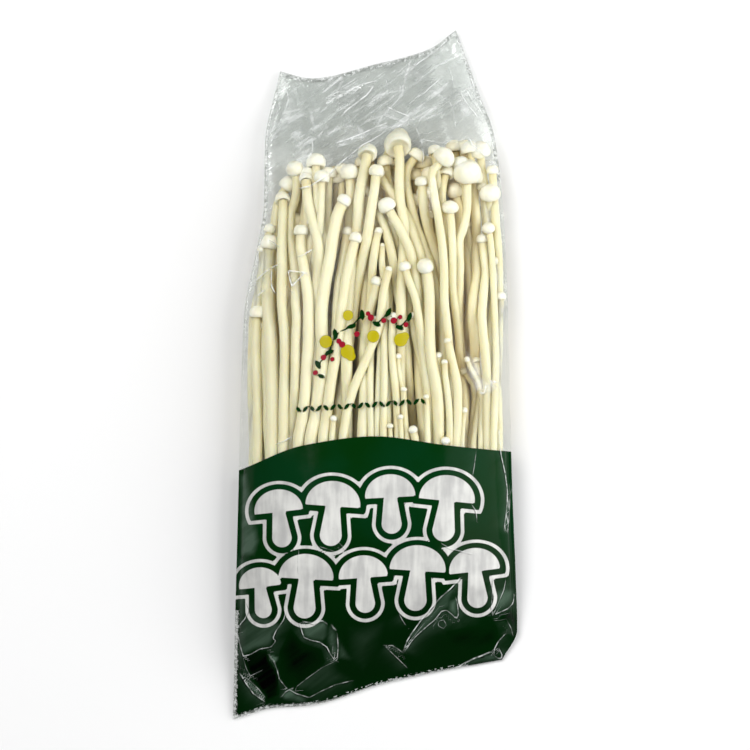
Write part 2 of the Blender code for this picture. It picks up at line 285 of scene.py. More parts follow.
def web_material(name):
    """Clear film with a printed band. The mesh stores how far each point is inside the band's edge and
    each colour of the print, and how strongly the film is creased and hazed there."""
    made, tree = new_material(name)
    place = object_place(tree)
    mottle = soft_noise(tree, place, 140.0, 4.0)
    fine = soft_noise(tree, place, 1000.0, 2.0)
    slanted = turned_cells(tree, place, 36, (0.022, 0.0024, 0.022))
    streaks = soft_noise(tree, slanted, 1.0, 3.0)
    haze = stored(tree, "haze")
    side = stored(tree, "crease_side")
    broken = 0.2 + 0.95 * soft_noise(tree, place, 420.0, 2.0).step(0.5, 0.3)
    strength = stored(tree, "crease_white") * broken
    # Each crease is a white line, partly whitened film and partly a painted glint, with a dark line of
    # painted shade along one side.
    white = strength * (1 - side.maths("ABSOLUTE").step(0.13, 0.2))
    dark = strength * side.band(0.2, 0.62, 0.16)
    # Painted sheen on the limp film beside creases and on its facets, and painted shade where it is
    # below 0.
    sheen = stored(tree, "sheen") * (0.55 + 0.9 * soft_noise(tree, slanted, 0.7).step(0.5, 0.4))
    painted_sheen = sheen.at_least(0.0)
    shade = (-1.0 * sheen).at_least(0.0)
    hairs = soft_noise(tree, slanted, 3.2, 2.0)
    # Scuffs on the limp film: white streaks and hairs that are partly painted glints.
    scuffs_and_glints = haze.step(0.7, 0.3) * streaks.step(0.6, 0.07) * mottle.step(0.48, 0.2)
    patchy = haze.step(0.7, 0.3) * soft_noise(tree, place, 70.0).step(0.5, 0.15)
    scuffs_and_glints = scuffs_and_glints + patchy * hairs.step(0.63, 0.05) * 0.6
    # The crimped weld strip gets white and dark dashes: painted highlights and painted shade on its
    # ridges, over a fine bump.
    seal = stored(tree, "seal").step(0.0, 0.25)
    crimp_white = seal * fine.step(0.57, 0.05)
    crimp_dark = seal * (1 - fine.step(0.5, 0.05))
    bump_height = mottle * 0.7 + streaks * (0.1 + haze * 0.5) + fine * (0.06 + seal * 0.3)
    bump = add_bump(tree, bump_height, 0.25, 0.002)
    milky = add_body(tree, {"Base Color": FILM_WHITE, "Roughness": 0.2, "Normal": bump})
    # The limp film's flat facets each get their own grey, painted shading of facets that face the light
    # differently, and white lines along their edges that are partly painted glints.
    folds = turned_cells(tree, place, 28, (0.021, 0.009, 0.021))
    facet = add_node(tree, "ShaderNodeTexVoronoi", {}, {"Vector": folds, "Scale": 1.0}, 1)
    facet = add_node(tree, "ShaderNodeSeparateColor", {}, {"Color": facet})
    fold_edge = {"Vector": folds, "Scale": 1.0}
    fold_edge = add_node(tree, "ShaderNodeTexVoronoi", {"feature": "DISTANCE_TO_EDGE"}, fold_edge)
    fold_edge = haze.step(0.7, 0.3) * (1 - fold_edge.step(0.02, 0.03)) * mottle.step(0.5, 0.15)
    grey = haze * (0.4 + 0.8 * mottle + 0.4 * facet)
    tint = mix_colors(tree, grey.at_most(1.0), FILM_CLEAR, FILM_GREY)
    # Dark hairs of painted shade in the limp film.
    dark_hair_shade = patchy * (1 - hairs.step(0.37, 0.05)) * 0.5
    tint = mix_colors(tree, (dark + crimp_dark + dark_hair_shade).at_most(1.0), tint, FILM_DARK)
    through = add_node(tree, "ShaderNodeBsdfTransparent", {}, {"Color": tint})
    share = 0.006 + haze * (0.04 + mottle.step(0.58, 0.2) * 0.1) + white + scuffs_and_glints * 0.35
    share = share + painted_sheen * 0.12 + crimp_white * 0.4 + fold_edge * 0.25
    clear = mix_bodies(tree, share.at_most(1.0), through, milky)
    mirror = {"Base Color": (1, 1, 1, 1), "Metallic": 1.0, "Roughness": 0.09, "Normal": bump}
    mirror = add_body(tree, mirror)
    facing = add_node(tree, "ShaderNodeLayerWeight", {}, {"Blend": 0.5}, 1)
    gloss = 0.006 + haze * 0.022 + facing.maths("POWER", 4.0) * 0.1
    clear = mix_bodies(tree, gloss, clear, mirror)
    silver = printed_with(tree, "silver_print") + stored(tree, "silver_print").band(2.1, 3.3, 0.2)
    fibres = soft_noise(tree, object_place(tree, (420, 60, 60)), 1.0)
    foil = mix_colors(tree, (fibres * 0.6 + mottle * 0.5).step(0.55, 0.4), INK_SILVER_DULL, INK_SILVER)
    depth = stored(tree, "band_depth")
    cool = soft_noise(tree, place, 45.0).step(0.52, 0.3) * 0.6
    inked = mix_colors(tree, cool, INK_GREEN, INK_COOL)
    inked = mix_colors(tree, depth.step(40.0, 60.0), inked, INK_DEEP)
    inked = mix_colors(tree, painted_sheen.at_most(1.0), inked, INK_SHEEN)
    inked = mix_colors(tree, shade.at_most(1.0), inked, (0, 0, 0, 1))
    inked = mix_colors(tree, silver, inked, foil)
    yellow, green, red = [printed_with(tree, f"{name}_print") for name in ("yellow", "green", "red")]
    for mark, color in ((yellow, INK_YELLOW), (green, INK_GREEN), (red, INK_RED)):
        inked = mix_colors(tree, mark, inked, color)
    # The creases' painted shade lines and their partly painted white lines also show over the ink.
    inked = mix_colors(tree, dark * 0.8, inked, (0, 0, 0, 1))
    inked = mix_colors(tree, (white * 0.8 + crimp_white * 0.5).at_most(1.0), inked, FILM_WHITE)
    ink_bump = add_bump(tree, bump_height, 0.08, 0.002)
    ink = {"Base Color": inked, "Roughness": 0.15, "Specular IOR Level": 0.05, "Normal": ink_bump}
    ink = add_body(tree, ink)
    band = depth.step(0.0, 0.25) * (1 - stored(tree, "bare_seal").step(0.0, 0.25))
    marks = (yellow * 0.75).at_least(green).at_least(red)
    set_surface(tree, mix_bodies(tree, band.at_least(marks), clear, ink))
    return made


def web_mesh(name, columns, rows, height, stored_values):
    """A grid over the whole bag, raised to its height, with named values stored at its points."""
    bm = bmesh.new()
    bmesh.ops.create_grid(bm, x_segments=columns, y_segments=rows, size=1.0)
    mesh = mesh_of(bm, name)
    u, t, _level = point_places(mesh)
    t = (t + 1) / 2
    x, y = plan(u, t)
    z = height(u, t, x, y)
    mesh.vertices.foreach_set("co", (np.stack((x, y, z), axis=-1) * MM).ravel())
    for label, values in stored_values(u, t, x, y).items():
        store(mesh, label, values)
    mesh.shade_smooth()
    return mesh


def edge_distance(u, t):
    sides = (1 - np.abs(u)) * HALF_WIDTH
    return np.minimum(sides, np.minimum(t, 1 - t) * LENGTH)


def film_haze(start, u, t):
    """Film is limp and scuffed past a place along the bag and beside the bunch, and clear where the
    bunch stretches it."""
    beside = 0.1 * np.clip((np.abs(u) - 0.88) / 0.06, 0, 1)
    return np.maximum(np.clip((t - start) / 0.06, 0, 1), beside)


def seal_strips(u, t):
    """How far inside the crimped strip of the weld each point is, and the same for the part of the
    strip that the print leaves bare."""
    inside = SEAL_WIDE - edge_distance(u, t)
    bare = (t < 0.17) & ((u < 0) | (t * LENGTH < (1 - u) * HALF_WIDTH)) & (u < 0.75)
    shown = (t > 0.76) | bare
    narrowed = 0.3 + 0.5 * np.clip((u + 0.45) / 0.2, 0, 1)
    return np.where(shown, inside, -5), np.where(bare, inside - narrowed, -5)


def web_values(start, u, t, x, y):
    """What the front and the back web both store."""
    seal, bare = seal_strips(u, t)
    depth = band_top(np.clip(x, BAND_TOP[0][0], BAND_TOP[-1][0])) - y
    return {"band_depth": depth, "haze": film_haze(start, u, t), "seal": seal, "bare_seal": bare}


def back_values(u, t, x, y):
    """The back web has a plain band, with no other print on it and no creases."""
    away = ("silver_print", "green_print", "red_print", "yellow_print", "crease_side")
    values = web_values(BACK_LIMP_FROM, u, t, x, y)
    return values | dict.fromkeys(away, 0 * x + FAR) | dict.fromkeys(("crease_white", "sheen"), 0 * x)


def back_surface(u, t, x, y):
    return back_height(u, t)


def add_wall(piece):
    wall = piece.modifiers.new("Film", "SOLIDIFY")
    wall.thickness = FILM * MM
    wall.offset = 0


back_mesh = web_mesh("back_web", BACK_COLUMNS, BACK_ROWS, back_surface, back_values)
back_web = add_piece("back_web", back_mesh, web_material("back_film"), "back_film", "back_film")
add_wall(back_web)

# The stems of the bunch
# Long thin stems that grow out of one clump, cream white, moist and solid, with fine fibres along
# them. Those right under the front web have their places read from the photograph, and the others
# fill the bag behind them. Each is pushed down as far as those in front of it need.

CROWN = (
    (0.0, 0.75), (0.03, 4.4), (0.08, 12.4), (0.14, 19.8), (0.26, 25.6), (0.5, 27.0),
    (0.7, 26.0), (0.8, 23.5), (0.87, 18.5), (0.92, 11.5), (0.96, 6.0), (1.0, 2.2),
)  # fmt: skip
CROWN_POWER = 2.9
CROWN_ROUND = 0.6
# Each row is the width of the cap, how far it nods towards the eye in degrees, the width of the stem,
# and points down the middle of the stem from the cap's rim, foremost first.
SEEN = (
    (2.6, 10, 2.1, -14.2, -15.2, -14.4, -18.4, -14.7, -21.5),
    (2.4, 15, 1.6, 5.1, -17.7, 5.3, -19.7, 5.3, -21.8),
    (2.2, 10, 1.7, 8.7, -14.6, 8.9, -18, 9.1, -21.8),
    (3.1, 35, 2.8, 13, -19, 13.6, -21.1, 13.9, -23.2),
    (3.1, 30, 2.1, 24.1, -22.8, 24.3, -24.9, 24.6, -27.7),
    (2.2, 10, 2.1, 17.5, -7.7, 17.7, -12.1, 17.9, -17.3, 18, -22.5),
    (2.1, 0, 2.1, 9.8, -5.2, 9.9, -9.4, 10.3, -15.6, 10.8, -21.8),
    (2.6, 0, 2.9, 4.6, 35.8, 3.6, 31.7, 2.7, 26.8, 2.2, 22.4, 1.5, 17.2, 0.1, 13, -1.3, 9.6, -2.7, 6.1,
        -4.4, 2.3, -6.1, -1.4, -7.5, -5.2, -8.5, -8.7, -9.6, -12.5, -10.2, -16.6, -10.9, -21.8),
    (4.5, 30, 2.2, 39.1, 50, 39.8, 46.5, 40.1, 42.4, 40.5, 36.2, 40.8, 29.3, 41.2, 18.9, 41.5, 5.1,
        41.2, -8.7, 40.8, -22.5),
    (4.0, 0, 2.9, 36.8, 46.2, 37.2, 43.1, 37.7, 38.9, 38.1, 35.5, 37.7, 31.3, 37.2, 25.8, 36.8, 20.6,
        37, 15.5, 37.7, 8.6, 38.4, -0.1, 38.7, -8.7, 38.7, -24.2),
    (3.6, 20, 2.4, 41.2, 38.9, 41.5, 34.4, 41.3, 29.3, 40.5, 22.4, 39.8, 15.5, 39.4, 8.6, 39.1, -1.8,
        39.4, -12.1, 39.8, -24.2),
    (4.1, 0, 2.9, 43.2, 26.5, 42.9, 22.4, 42.2, 17.2, 42, 10.3, 41.8, 1.7, 42.2, -8.7, 42.5, -25.9),
    (5.9, 28, 3.6, 17.4, 36.5, 18.2, 32.7, 18.6, 27.5, 18.7, 21.7, 18.7, 15.5, 18.9, 9.6, 19.4, 4.4,
        20.3, -0.4, 21, -5.2, 21.5, -10.4, 21.7, -15.6, 21.8, -22.5),
    (4.5, 8, 2.8, 10.3, 36.5, 11.1, 33.7, 12.2, 30.6, 13.2, 27.9, 14.1, 24.8, 14.8, 20.6, 15.5, 15.5,
        16.3, 8.6, 17.4, -0.1, 18.4, -8.7, 19.4, -22.5),
    (3.1, 10, 2.9, 13.2, 19.9, 13.7, 14.8, 14.8, 9.6, 16, 4.4, 17.2, -1.1, 18.2, -6.3, 19.1, -12.8,
        19.8, -22.5),
    (3.6, 5, 2.4, 6, 19.3, 5.8, 13.7, 5.8, 8.6, 6.1, 3.4, 6.7, -1.8, 7.2, -7, 7.5, -12.1, 7.7, -21.8),
    (2.4, 5, 2.1, -0.1, 18.9, -0.6, 14.8, -1.1, 10.3, -1.4, 5.1, -1.6, -1.8, -1.6, -8.7, -1.4, -21.8),
    (2.4, 5, 1.6, 7.9, 6.1, 8, 3.4, 8.7, -1.1, 9.4, -5.9, 9.8, -10.4, 10.5, -21.8),
    (2.2, 10, 2.1, 23.9, 4.1, 24.1, -0.1, 24.8, -5.2, 25.3, -10.4, 25.6, -17.3, 25.6, -22.5),
    (2.8, 15, 2.6, 21.5, 6.5, 21.8, 1.7, 22.5, -3.5, 23.2, -10.4, 23.6, -22.5),
    (2.6, 20, 2.9, 24.9, 11.3, 26, 7.2, 27, 3, 27.9, -1.1, 28.4, -5.6, 28.4, -10.4, 28.2, -15.6, 27.7,
        -22.5),
    (2.2, 20, 1.7, 31.7, 5.1, 32.9, 2.3, 34.6, -0.4, 36, -3.9, 36.7, -8.7, 36.3, -22.5),
    (2.8, -30, 2.1, 34.9, 4.4, 35.6, 1, 36.3, -3.2, 36, -8.7, 34.9, -15.6, 33.9, -24.2),
    (2.4, 20, 1.7, 30.6, 1, 31.8, -0.8, 33.6, -3.2, 34.3, -7.3, 33.9, -12.1, 32.9, -22.5),
    (3.1, 10, 2.1, 34.3, -17, 34.3, -19.7, 33.9, -25.3),
    (2.6, 0, 2.8, 36.9, -6.8, 37.3, -14, 37.7, -26),
    (1.8, 0, 2.2, 40.8, -16.4, 41.1, -20.6, 41.4, -26),
    (2.2, 10, 1.8, 30.6, -12.4, 30.1, -17.6, 29.8, -26),
    (4.8, 0, 3.4, -6.8, 46.2, -8, 41.7, -9, 37.2, -10, 32.4, -10.8, 27.2, -11.5, 22, -12, 17.2, -12.7,
        11.7, -13.4, 6.8, -14.4, 1.7, -15.2, -3.5, -15.9, -8.7, -16.8, -15.6, -17.8, -22.5),
    (6.2, 12, 3.4, 4.4, 57.4, 6, 54.6, 7.7, 51.5, 9.4, 48.2, 10.9, 45, 12.2, 41.7, 13.1, 38.2, 13.9,
        33.7, 14.4, 28.6, 14.8, 22.4, 14.8, 15.5, 14.9, 8.6, 15.3, -1.8, 16, -12.1, 17, -22.5),
    (5.2, -35, 3.3, -31.8, 60, -31.6, 56.9, -31.8, 51.7, -32, 46.5, -32, 41.3, -31.9, 36.2, -32, 31,
        -32, 25.8, -31.7, 21.7, -31.1, 15.5, -30.9, 8.6, -31, 1.7, -31.1, -5.2, -31.3, -12.1, -31.3,
        -17.3, -31.5, -23.2),
    (5.5, 30, 2.6, 25.8, 56.9, 26.1, 52.7, 26.3, 48.2, 26.6, 43.1, 26.6, 37.9, 26.6, 32.7, 26.8, 28.6,
        27.4, 24.1, 28, 19.9, 28.6, 15.5, 28.9, 10.3, 29.4, 4.4, 30.1, -2.8, 30.6, -9.4, 31, -22.5),
    (5.5, 0, 3.6, -25.4, 48.7, -25.5, 44.8, -25.1, 41, -24.4, 36.8, -23.7, 32.7, -23, 28.2, -22.8, 23.7,
        -22.8, 18.9, -22.8, 13.7, -23, 8.6, -23.4, 3.4, -23.7, -2.1, -24.2, -8.7, -25.1, -15.6, -26.3,
        -22.5),
    (6.9, -42, 3.6, -2.7, 75.8, -3.2, 73.1, -4, 68.9, -5, 63.8, -5.6, 58.6, -5.8, 53.4, -6.1, 48.9,
        -7.1, 43.1, -8.2, 37.9),
    (9.3, -50, 3.3, 7.9, 78.6, 8.4, 75.1, 8.5, 71.3, 8.3, 67.2, 8.4, 62.7, 8.9, 57.5, 10.1, 51.7),
    (5.3, 12, 3.4, 0.4, 69.3, 0.1, 66.5, -0.7, 60.3, -1.7, 53.8, -2.3, 49.6, -3.5, 43.1, -5.1, 36.2,
        -6.5, 29.3, -7.6, 22.4, -8.2, 17.2, -8.9, 11.7, -9.7, 5.1, -10.6, -1.8, -12, -9, -13.2, -15.6,
        -14.4, -22.5),
    (4.1, 0, 3.1, -9.6, 48.6, -10.1, 45.5, -10.8, 41, -11.6, 36.2, -12.5, 31),
    (5.3, 0, 4.1, -10.9, 59.1, -12.7, 55.5, -13.7, 51.3, -14.6, 46.5, -15.2, 41.7, -16.1, 36.5, -17.1,
        31.3, -17.8, 26.5, -18.3, 21.7, -18.3, 15.5, -17.8, 9.6, -18.1, 4.4, -18.7, -1.8, -19.6, -8.7,
        -20.6, -15.6, -22, -22.5),
    (4.8, 10, 3.3, 1.5, 68.6, 3.9, 65.1, 6.3, 61.7, 8.7, 58.1, 10.6, 54.6, 12.4, 50.6, 13.7, 46.5, 15.1,
        42.4, 16, 38.2, 16.7, 32.7),
    (5.0, -38, 3.5, -23.7, 66.9, -23.5, 63.8, -23, 59.6, -22, 55.5, -20.8, 51, -19.7, 46.5, -19.2, 41.7,
        -19.3, 36.2, -19.8, 31, -20.3, 25.8, -20.4, 19.6, -20.6, 12, -20.9, 1.7),
    (7.2, 22, 2.8, 23.2, 74.1, 21.7, 72.2, 19.8, 70.1, 19.4, 68.2, 19.8, 64.8, 20.5, 60.7, 21.3, 56.2,
        22, 51.7, 22.7, 47.2, 23.2, 42.4, 23.6, 36.8, 23.7, 31, 23.8, 25.8, 24.3, 20.6, 24.9, 15.5,
        25.6, 8.6, 26.3, -1.8),
    (4.0, 5, 3.4, 0.4, 31.5, -0.3, 27.5, -1.3, 23.7, -2.1, 19.6, -3, 15.1, -3.6, 10.3, -3.9, 5.1, -3.7,
        -0.1, -3.7, -5.2, -3.9, -12.1, -4.4, -22.5),
    (10.0, 30, 2.8, 31.8, 68.6, 31.8, 63.8, 31.7, 58.6, 31.2, 53.8, 30, 49.3, 28.6, 45.1, 28.6, 42.7,
        29.1, 38.9, 29, 34.4, 28.9, 29.3, 28.7, 22.4, 29.1, 15.5, 30.1, 5.1, 31.2, -8.7, 31.5, -22.5),
    (5.9, 30, 2.8, 27.7, 62.9, 28.6, 59.3, 29.1, 55.5, 29.3, 51.3, 29.1, 46.5),
    (2.9, -10, 2.9, 1.1, 48.9, 0.4, 45.8, -0.1, 42.4, -0.6, 38.6, -0.9, 34.1, -1.3, 28.6, -2, 20.6),
    (6.9, 0, 3.1, 34.3, 66.9, 34.3, 62, 34.6, 56.9, 34.9, 51.7, 34.9, 46.5, 34.9, 41.3, 35.1, 36.2,
        34.4, 30.3, 33.7, 25.1, 33.5, 20.3, 33.9, 15.1, 34.3, 10.3, 34.4, 3.4, 34.6, -8.7, 35.3, -22.5),
    (5.9, -25, 2.8, 24.3, 68.9, 23.4, 65.5, 23, 61, 23.4, 56.2, 23.9, 50.6),
    (5.5, 0, 2.9, 13.9, 75.1, 12.2, 72.7, 11, 70.3, 10.8, 67.2, 11.3, 63.1, 12.4, 58.6, 13.4, 54.8,
        14.6, 50.6, 16, 46.5, 17.4, 42.4, 19.1, 38.2, 20.5, 32.7, 21.5, 25.8, 22.5, 18.9, 23.2, 10.3,
        23.6, -8.7),
    (4.8, 10, 3.1, 16, 65.8, 16.3, 62, 16.7, 56.9, 17.7, 51.7, 19.1, 46.5, 20.5, 41.3, 21.5, 36.2, 22.2,
        29.3),
    (4.3, 0, 3.4, 18, 54.4, 18.4, 50.6, 19.3, 46.5, 20.5, 41.7, 21.5, 36.8, 22.2, 31.3, 22.5, 25.8,
        23.2, 15.5),
    (4.1, 0, 2.4, 37, 64.4, 37.4, 60.3, 37.7, 56.2, 38.2, 50.6, 38.7, 43.1, 39.1, 34.4),
    (7.6, 25, 2.2, 39.6, 61.7, 39.4, 58.2, 39.4, 53.4, 40.1, 46.5, 41.2, 37.9),
    (5.9, 30, 3.1, -27.5, 70.3, -27, 66.5, -27.2, 62, -28.2, 58.2, -29.2, 54.1, -29.2, 49.3, -28.5,
        43.7, -27.7, 37.9, -27.3, 32.7, -27.2, 25.8, -26.9, 18.9, -27.2, 12, -27.3, 3.4, -27.6, -7,
        -28.2, -15.6, -29.4, -22.5),
    (6.6, 5, 4.5, -36.1, 44.4, -36.6, 40.3, -36.8, 34.4, -36.8, 28.6, -36.5, 21.7, -35.9, 14.8, -35.5,
        8.6, -35.3, 1.7, -35.1, -5.2, -35, -12.1, -35.1, -23.2),
    (4.3, 0, 3.1, -36.3, 49.6, -37.2, 45.5, -38.2, 40.3, -39.1, 34.4, -39.9, 27.5, -40.6, 20.6, -41,
        10.3, -40.6, -1.8, -40.3, -22.5),
    (6.6, -15, 3.1, -20.3, 72.2, -20.3, 68.9, -19.9, 64.4, -19.6, 60.3, -19.2, 55.8, -18.5, 51, -17.5,
        46.5, -17.1, 41.3, -17.5, 35.5),
    (5.3, 8, 2.9, -15.8, 68.9, -16, 65.5, -16.1, 61.3, -16.3, 56.9, -16.5, 51.7),
    (6.9, 8, 3.3, -8.7, 68.6, -8.5, 65.1, -8.5, 60.3, -8.7, 55.1, -8.9, 50),
    (1.4, 0, 1.6, -16.5, 58.2, -16.7, 55.5, -17, 52, -16.8, 47.9, -16.5, 43.1),
    (6.2, 10, 3.1, -30.3, 64.8, -32.3, 61.7, -33.7, 58.2, -34.4, 53.4, -34.6, 47.2, -34.4, 39.6),
    (6.9, 25, 2.8, 36.3, 76.5, 36.7, 73.1, 37.4, 67.9, 38.4, 60.3),
    (5.9, 10, 2.8, 40.5, 70, 40.8, 65.5, 41.3, 58.6, 41.8, 50, 42.4, 41.3),
    (3.1, 10, 2.2, -41.6, 20.3, -41.3, 16.1, -41.5, 10.3, -41.3, 1.7, -41, -8.7, -40.6, -22.5),
    (4.5, 5, 2.8, -40.3, 16.1, -39.9, 12, -39.6, 5.1, -39.1, -3.5, -38.9, -12.1, -38.9, -24.2),
    (2.8, 5, 1.7, -41.3, 9.2, -41.5, 4.4, -42, -3.5, -42.3, -12.1, -42.3, -22.5),
    (3.8, 0, 3.2, 0.3, 57.9, 1.5, 54.8, 2.9, 51.7, 4.1, 48.2, 5.3, 43.4, 6.3, 38.2, 7.2, 33.1, 8, 27.9,
        9, 22.7, 9.7, 17.2, 10.2, 12, 10.8, 6.8, 11.2, 1.7, 11.7, -3.5, 12.2, -8.7, 12.9, -14.2, 13.7,
        -22.5),
    (4.1, 0, 2.9, 3.6, 55.5, 5.3, 52, 7, 47.9, 8.2, 43.7, 9.2, 38.9, 10.3, 32.7, 11.5, 25.8),
    (3.4, 0, 2.4, -38.9, 42.7, -38.9, 38.9, -39.6, 32.7, -41, 25.8, -42.3, 17.2),
    (2.2, 0, 2.4, 2.3, 44.1, 2.2, 40.3, 2.5, 36.2, 3.2, 31, 3.6, 24.1, 3.4, 17.2, 3.2, 10.3, 3.2, 3.4,
        3.2, -3.5, 3, -8.7, 2.9, -22.5),
    (4.1, 0, 2.9, 31.5, 51.3, 31.8, 46.5, 32, 41.3, 32.3, 36.8, 32.6, 32, 32.9, 27.2, 32.7, 21.7, 31.5,
        15.5, 31.3, 8.6, 31.7, -1.8, 31.5, -22.5),
    (2.1, 0, 1.9, 1.7, 14.8, 1.6, 10.3, 1.5, 5.1, 1.2, -1.8, 0.9, -8.7, 0.6, -22.5),
    (6.9, 40, 3.4, 8, 81.4, 4.9, 76.9, 3.6, 73.1, 3.9, 68.6, 4.9, 63.8, 6, 58.6),
)  # fmt: skip
ROOT_AT = 0.11
ROOT_REACH = 0.74
POINT_EVERY = 1.2
CELL = 0.5
CLEAR = 0.95
SLOPE = 0.3
SQUEEZED = 1.3
LEAST_CAP = 2.2
LAYERS = 6
LAYERS_FROM_BACK = (1, 3)
LAYER_STEMS = 29
LAYER_REACH = 0.94
LEAST_SPARE = -0.6
SIDE_MOST = 0.945
SHORT_SHARE = 0.15
SHORT_TOPS, LONG_TOPS = (0.5, 0.7), (0.76, 0.855)
SHORT_CAPS, LONG_CAPS = (3.4, 4.8), (4.4, 7.0)
STEM_WIDTHS = (2.4, 3.7)
NOD_MOST = 20
# Where along the bag the stems begin to lean apart, how far they lean and wave from there, and how
# high those at the left may reach.
LEAN_FROM = 0.33
LEAN_MOST = 0.12
WAVE_MOST = 0.035
WAVE_TURNS = 11
LEFT_TOP, LEFT_FALL = 1.73, 1.2
AREA_X, AREA_Y = 52, 122

rng = random.Random(11)
crown = profile(CROWN)


def front_height(u, t):
    across = np.minimum(np.abs(u) / SEAL_FROM, 1)
    bulge = (1 - across**CROWN_POWER) ** CROWN_ROUND
    return side_seal(t) + WEB_APART / 2 + (crown(t) - side_seal(t)) * bulge


cell_x, cell_y = np.meshgrid(np.arange(-AREA_X, AREA_X, CELL), np.arange(-AREA_Y, AREA_Y, CELL))
cell_u, cell_t = plan_inverse(cell_x, cell_y)
under_front = front_height(cell_u, cell_t) - CLEAR
over_back = back_height(cell_u, cell_t) + CLEAR
ceiling, minus_ground = under_front.copy(), -over_back
DISC = [(0.0, 0.0)] + [
    (r * math.cos(math.radians(a)), r * math.sin(math.radians(a)))
    for r in (0.45, 0.8, 0.97)
    for a in range(0, 360, 45)
]


def cells_at(x, y):
    ix = np.clip(np.round((x + AREA_X) / CELL).astype(int), 0, cell_x.shape[1] - 1)
    iy = np.clip(np.round((y + AREA_Y) / CELL).astype(int), 0, cell_x.shape[0] - 1)
    return iy, ix


def rest_against(surface, x, y, radius):
    """Highest height of a tube's middle under a surface, eased along the tube."""
    limit = np.full(len(x), 99.0)
    for dx, dy in DISC:
        cap_rise = radius * math.sqrt(max(1 - dx * dx - dy * dy, 0))
        limit = np.minimum(limit, surface[cells_at(x + dx * radius, y + dy * radius)] - cap_rise)
    step = np.arange(len(x))
    away = np.abs(step[:, None] - step[None, :]) * POINT_EVERY
    eased = (limit[None, :] + SLOPE * away).min(axis=1)
    for _ in range(6):
        padded = np.pad(eased, 1, mode="edge")
        eased = np.minimum(eased, (padded[:-2] + padded[1:-1] + padded[2:]) / 3)
    return eased


def press_into(surface, x, y, z, radius):
    """Lower the surface to the underside of a tube."""
    for dx, dy in DISC:
        at = cells_at(x + dx * radius, y + dy * radius)
        under = z - radius * math.sqrt(max(1 - dx * dx - dy * dy, 0))
        np.minimum.at(surface, at, under)


def along_path(points):
    """Points at even steps along a smooth curve through these, from cap to root."""
    points = np.array(points, float)
    run = np.concatenate(([0], np.cumsum(np.hypot(*np.diff(points, axis=0).T))))
    steps = np.arange(0, run[-1], POINT_EVERY)
    return profile(list(zip(run, points[:, 0])))(steps), profile(list(zip(run, points[:, 1])))(steps)


def to_root(points):
    """The path carried on behind the print to the root clump."""
    u, t = plan_inverse(*map(np.float64, points[-1]))
    for i in range(1, 7):
        part = i / 6
        reach = 1 - (1 - ROOT_REACH) * part * part
        points.append(plan(u * reach, t + (ROOT_AT - t) * part))
    return points


mushrooms = []


def grow(points, cap, stem, nod, from_back=False, least=None):
    x, y = along_path(to_root(points))
    low, high = over_back[cells_at(x, y)], under_front[cells_at(x, y)]
    radius = np.clip((high - low + SQUEEZED) / 2, 0.4, stem / 2)
    cap = min(cap, max(np.min((high - low)[:3]) + SQUEEZED, 2.1 * radius[0]))
    head = np.arange(len(x)) * POINT_EVERY
    full = np.maximum(radius, np.sqrt(np.maximum((cap / 2) ** 2 - head**2, 0)))
    if from_back:
        z = -rest_against(minus_ground, x, y, full)
        spare = ceiling[cells_at(x, y)] - full - z
    else:
        z = rest_against(ceiling, x, y, full)
        spare = z - full + minus_ground[cells_at(x, y)]
    if least is not None and (np.mean(spare) < least or cap < LEAST_CAP):
        return
    z = np.where(high - low > 2 * full, np.clip(z, low + full, high - full), (low + high) / 2)
    if from_back:
        press_into(minus_ground, x, y, -z, full)
    else:
        press_into(ceiling, x, y, z, full)
    mushrooms.append((np.stack((x, y, z), axis=-1), radius, cap / 2, nod))


def swaying_path(u, drift, t):
    """A stem's path from its cap down to where the stems lean apart."""
    wave, phase = rng.uniform(0.0, WAVE_MOST), rng.uniform(0, 6.3)
    t = min(t, LEFT_TOP + LEFT_FALL * min(u + drift * (t - LEAN_FROM), 0))
    points = []
    for i in range(9):
        at = t + (LEAN_FROM - t) * i / 8
        sway = drift * (at - LEAN_FROM) + wave * math.sin(WAVE_TURNS * at + phase)
        points.append(plan(min(max(u + sway, -SIDE_MOST), SIDE_MOST), at))
    return points


for cap, nod, stem, *path in SEEN:
    grow(list(zip(path[0::2], path[1::2])), cap, stem, nod)
for layer in range(LAYERS):
    for i in range(LAYER_STEMS):
        place = (i + 0.25 + 0.5 * (layer % 2)) / LAYER_STEMS
        u = 2 * LAYER_REACH * place - LAYER_REACH + rng.uniform(-0.02, 0.02)
        short = rng.random() < SHORT_SHARE
        t = rng.uniform(*(SHORT_TOPS if short else LONG_TOPS))
        cap = rng.uniform(*(SHORT_CAPS if short else LONG_CAPS))
        path = swaying_path(u, rng.uniform(-LEAN_MOST, LEAN_MOST), t)
        stem, nod = rng.uniform(*STEM_WIDTHS), rng.uniform(-NOD_MOST, NOD_MOST)
        grow(path, cap, stem, nod, from_back=layer in LAYERS_FROM_BACK, least=LEAST_SPARE)

STEM_LIGHT = (0.90, 0.86, 0.62, 1)
STEM_DARK = (0.74, 0.66, 0.40, 1)
# The colour that painted shade darkens the flesh towards.
STEM_SHADE = (0.68, 0.52, 0.2, 1)
# How far from a cap the painted shade under it reaches.
CAP_SHADE_REACH = 4.5
FRONT_EVERY, INNER_EVERY = 2, 5
STEM_ROUND = 4
STEM_LUMPS = 0.14


def flesh_material(made, tree, look, glow):
    """Moist flesh, which light goes a little way into."""
    color, roughness, bump = look
    weight, radius, depth = glow
    inputs = {
        "Base Color": color,
        "Roughness": roughness,
        "Subsurface Weight": weight,
        "Subsurface Radius": radius,
        "Subsurface Scale": depth,
        "Normal": bump,
    }
    set_surface(tree, add_body(tree, inputs))
    return made


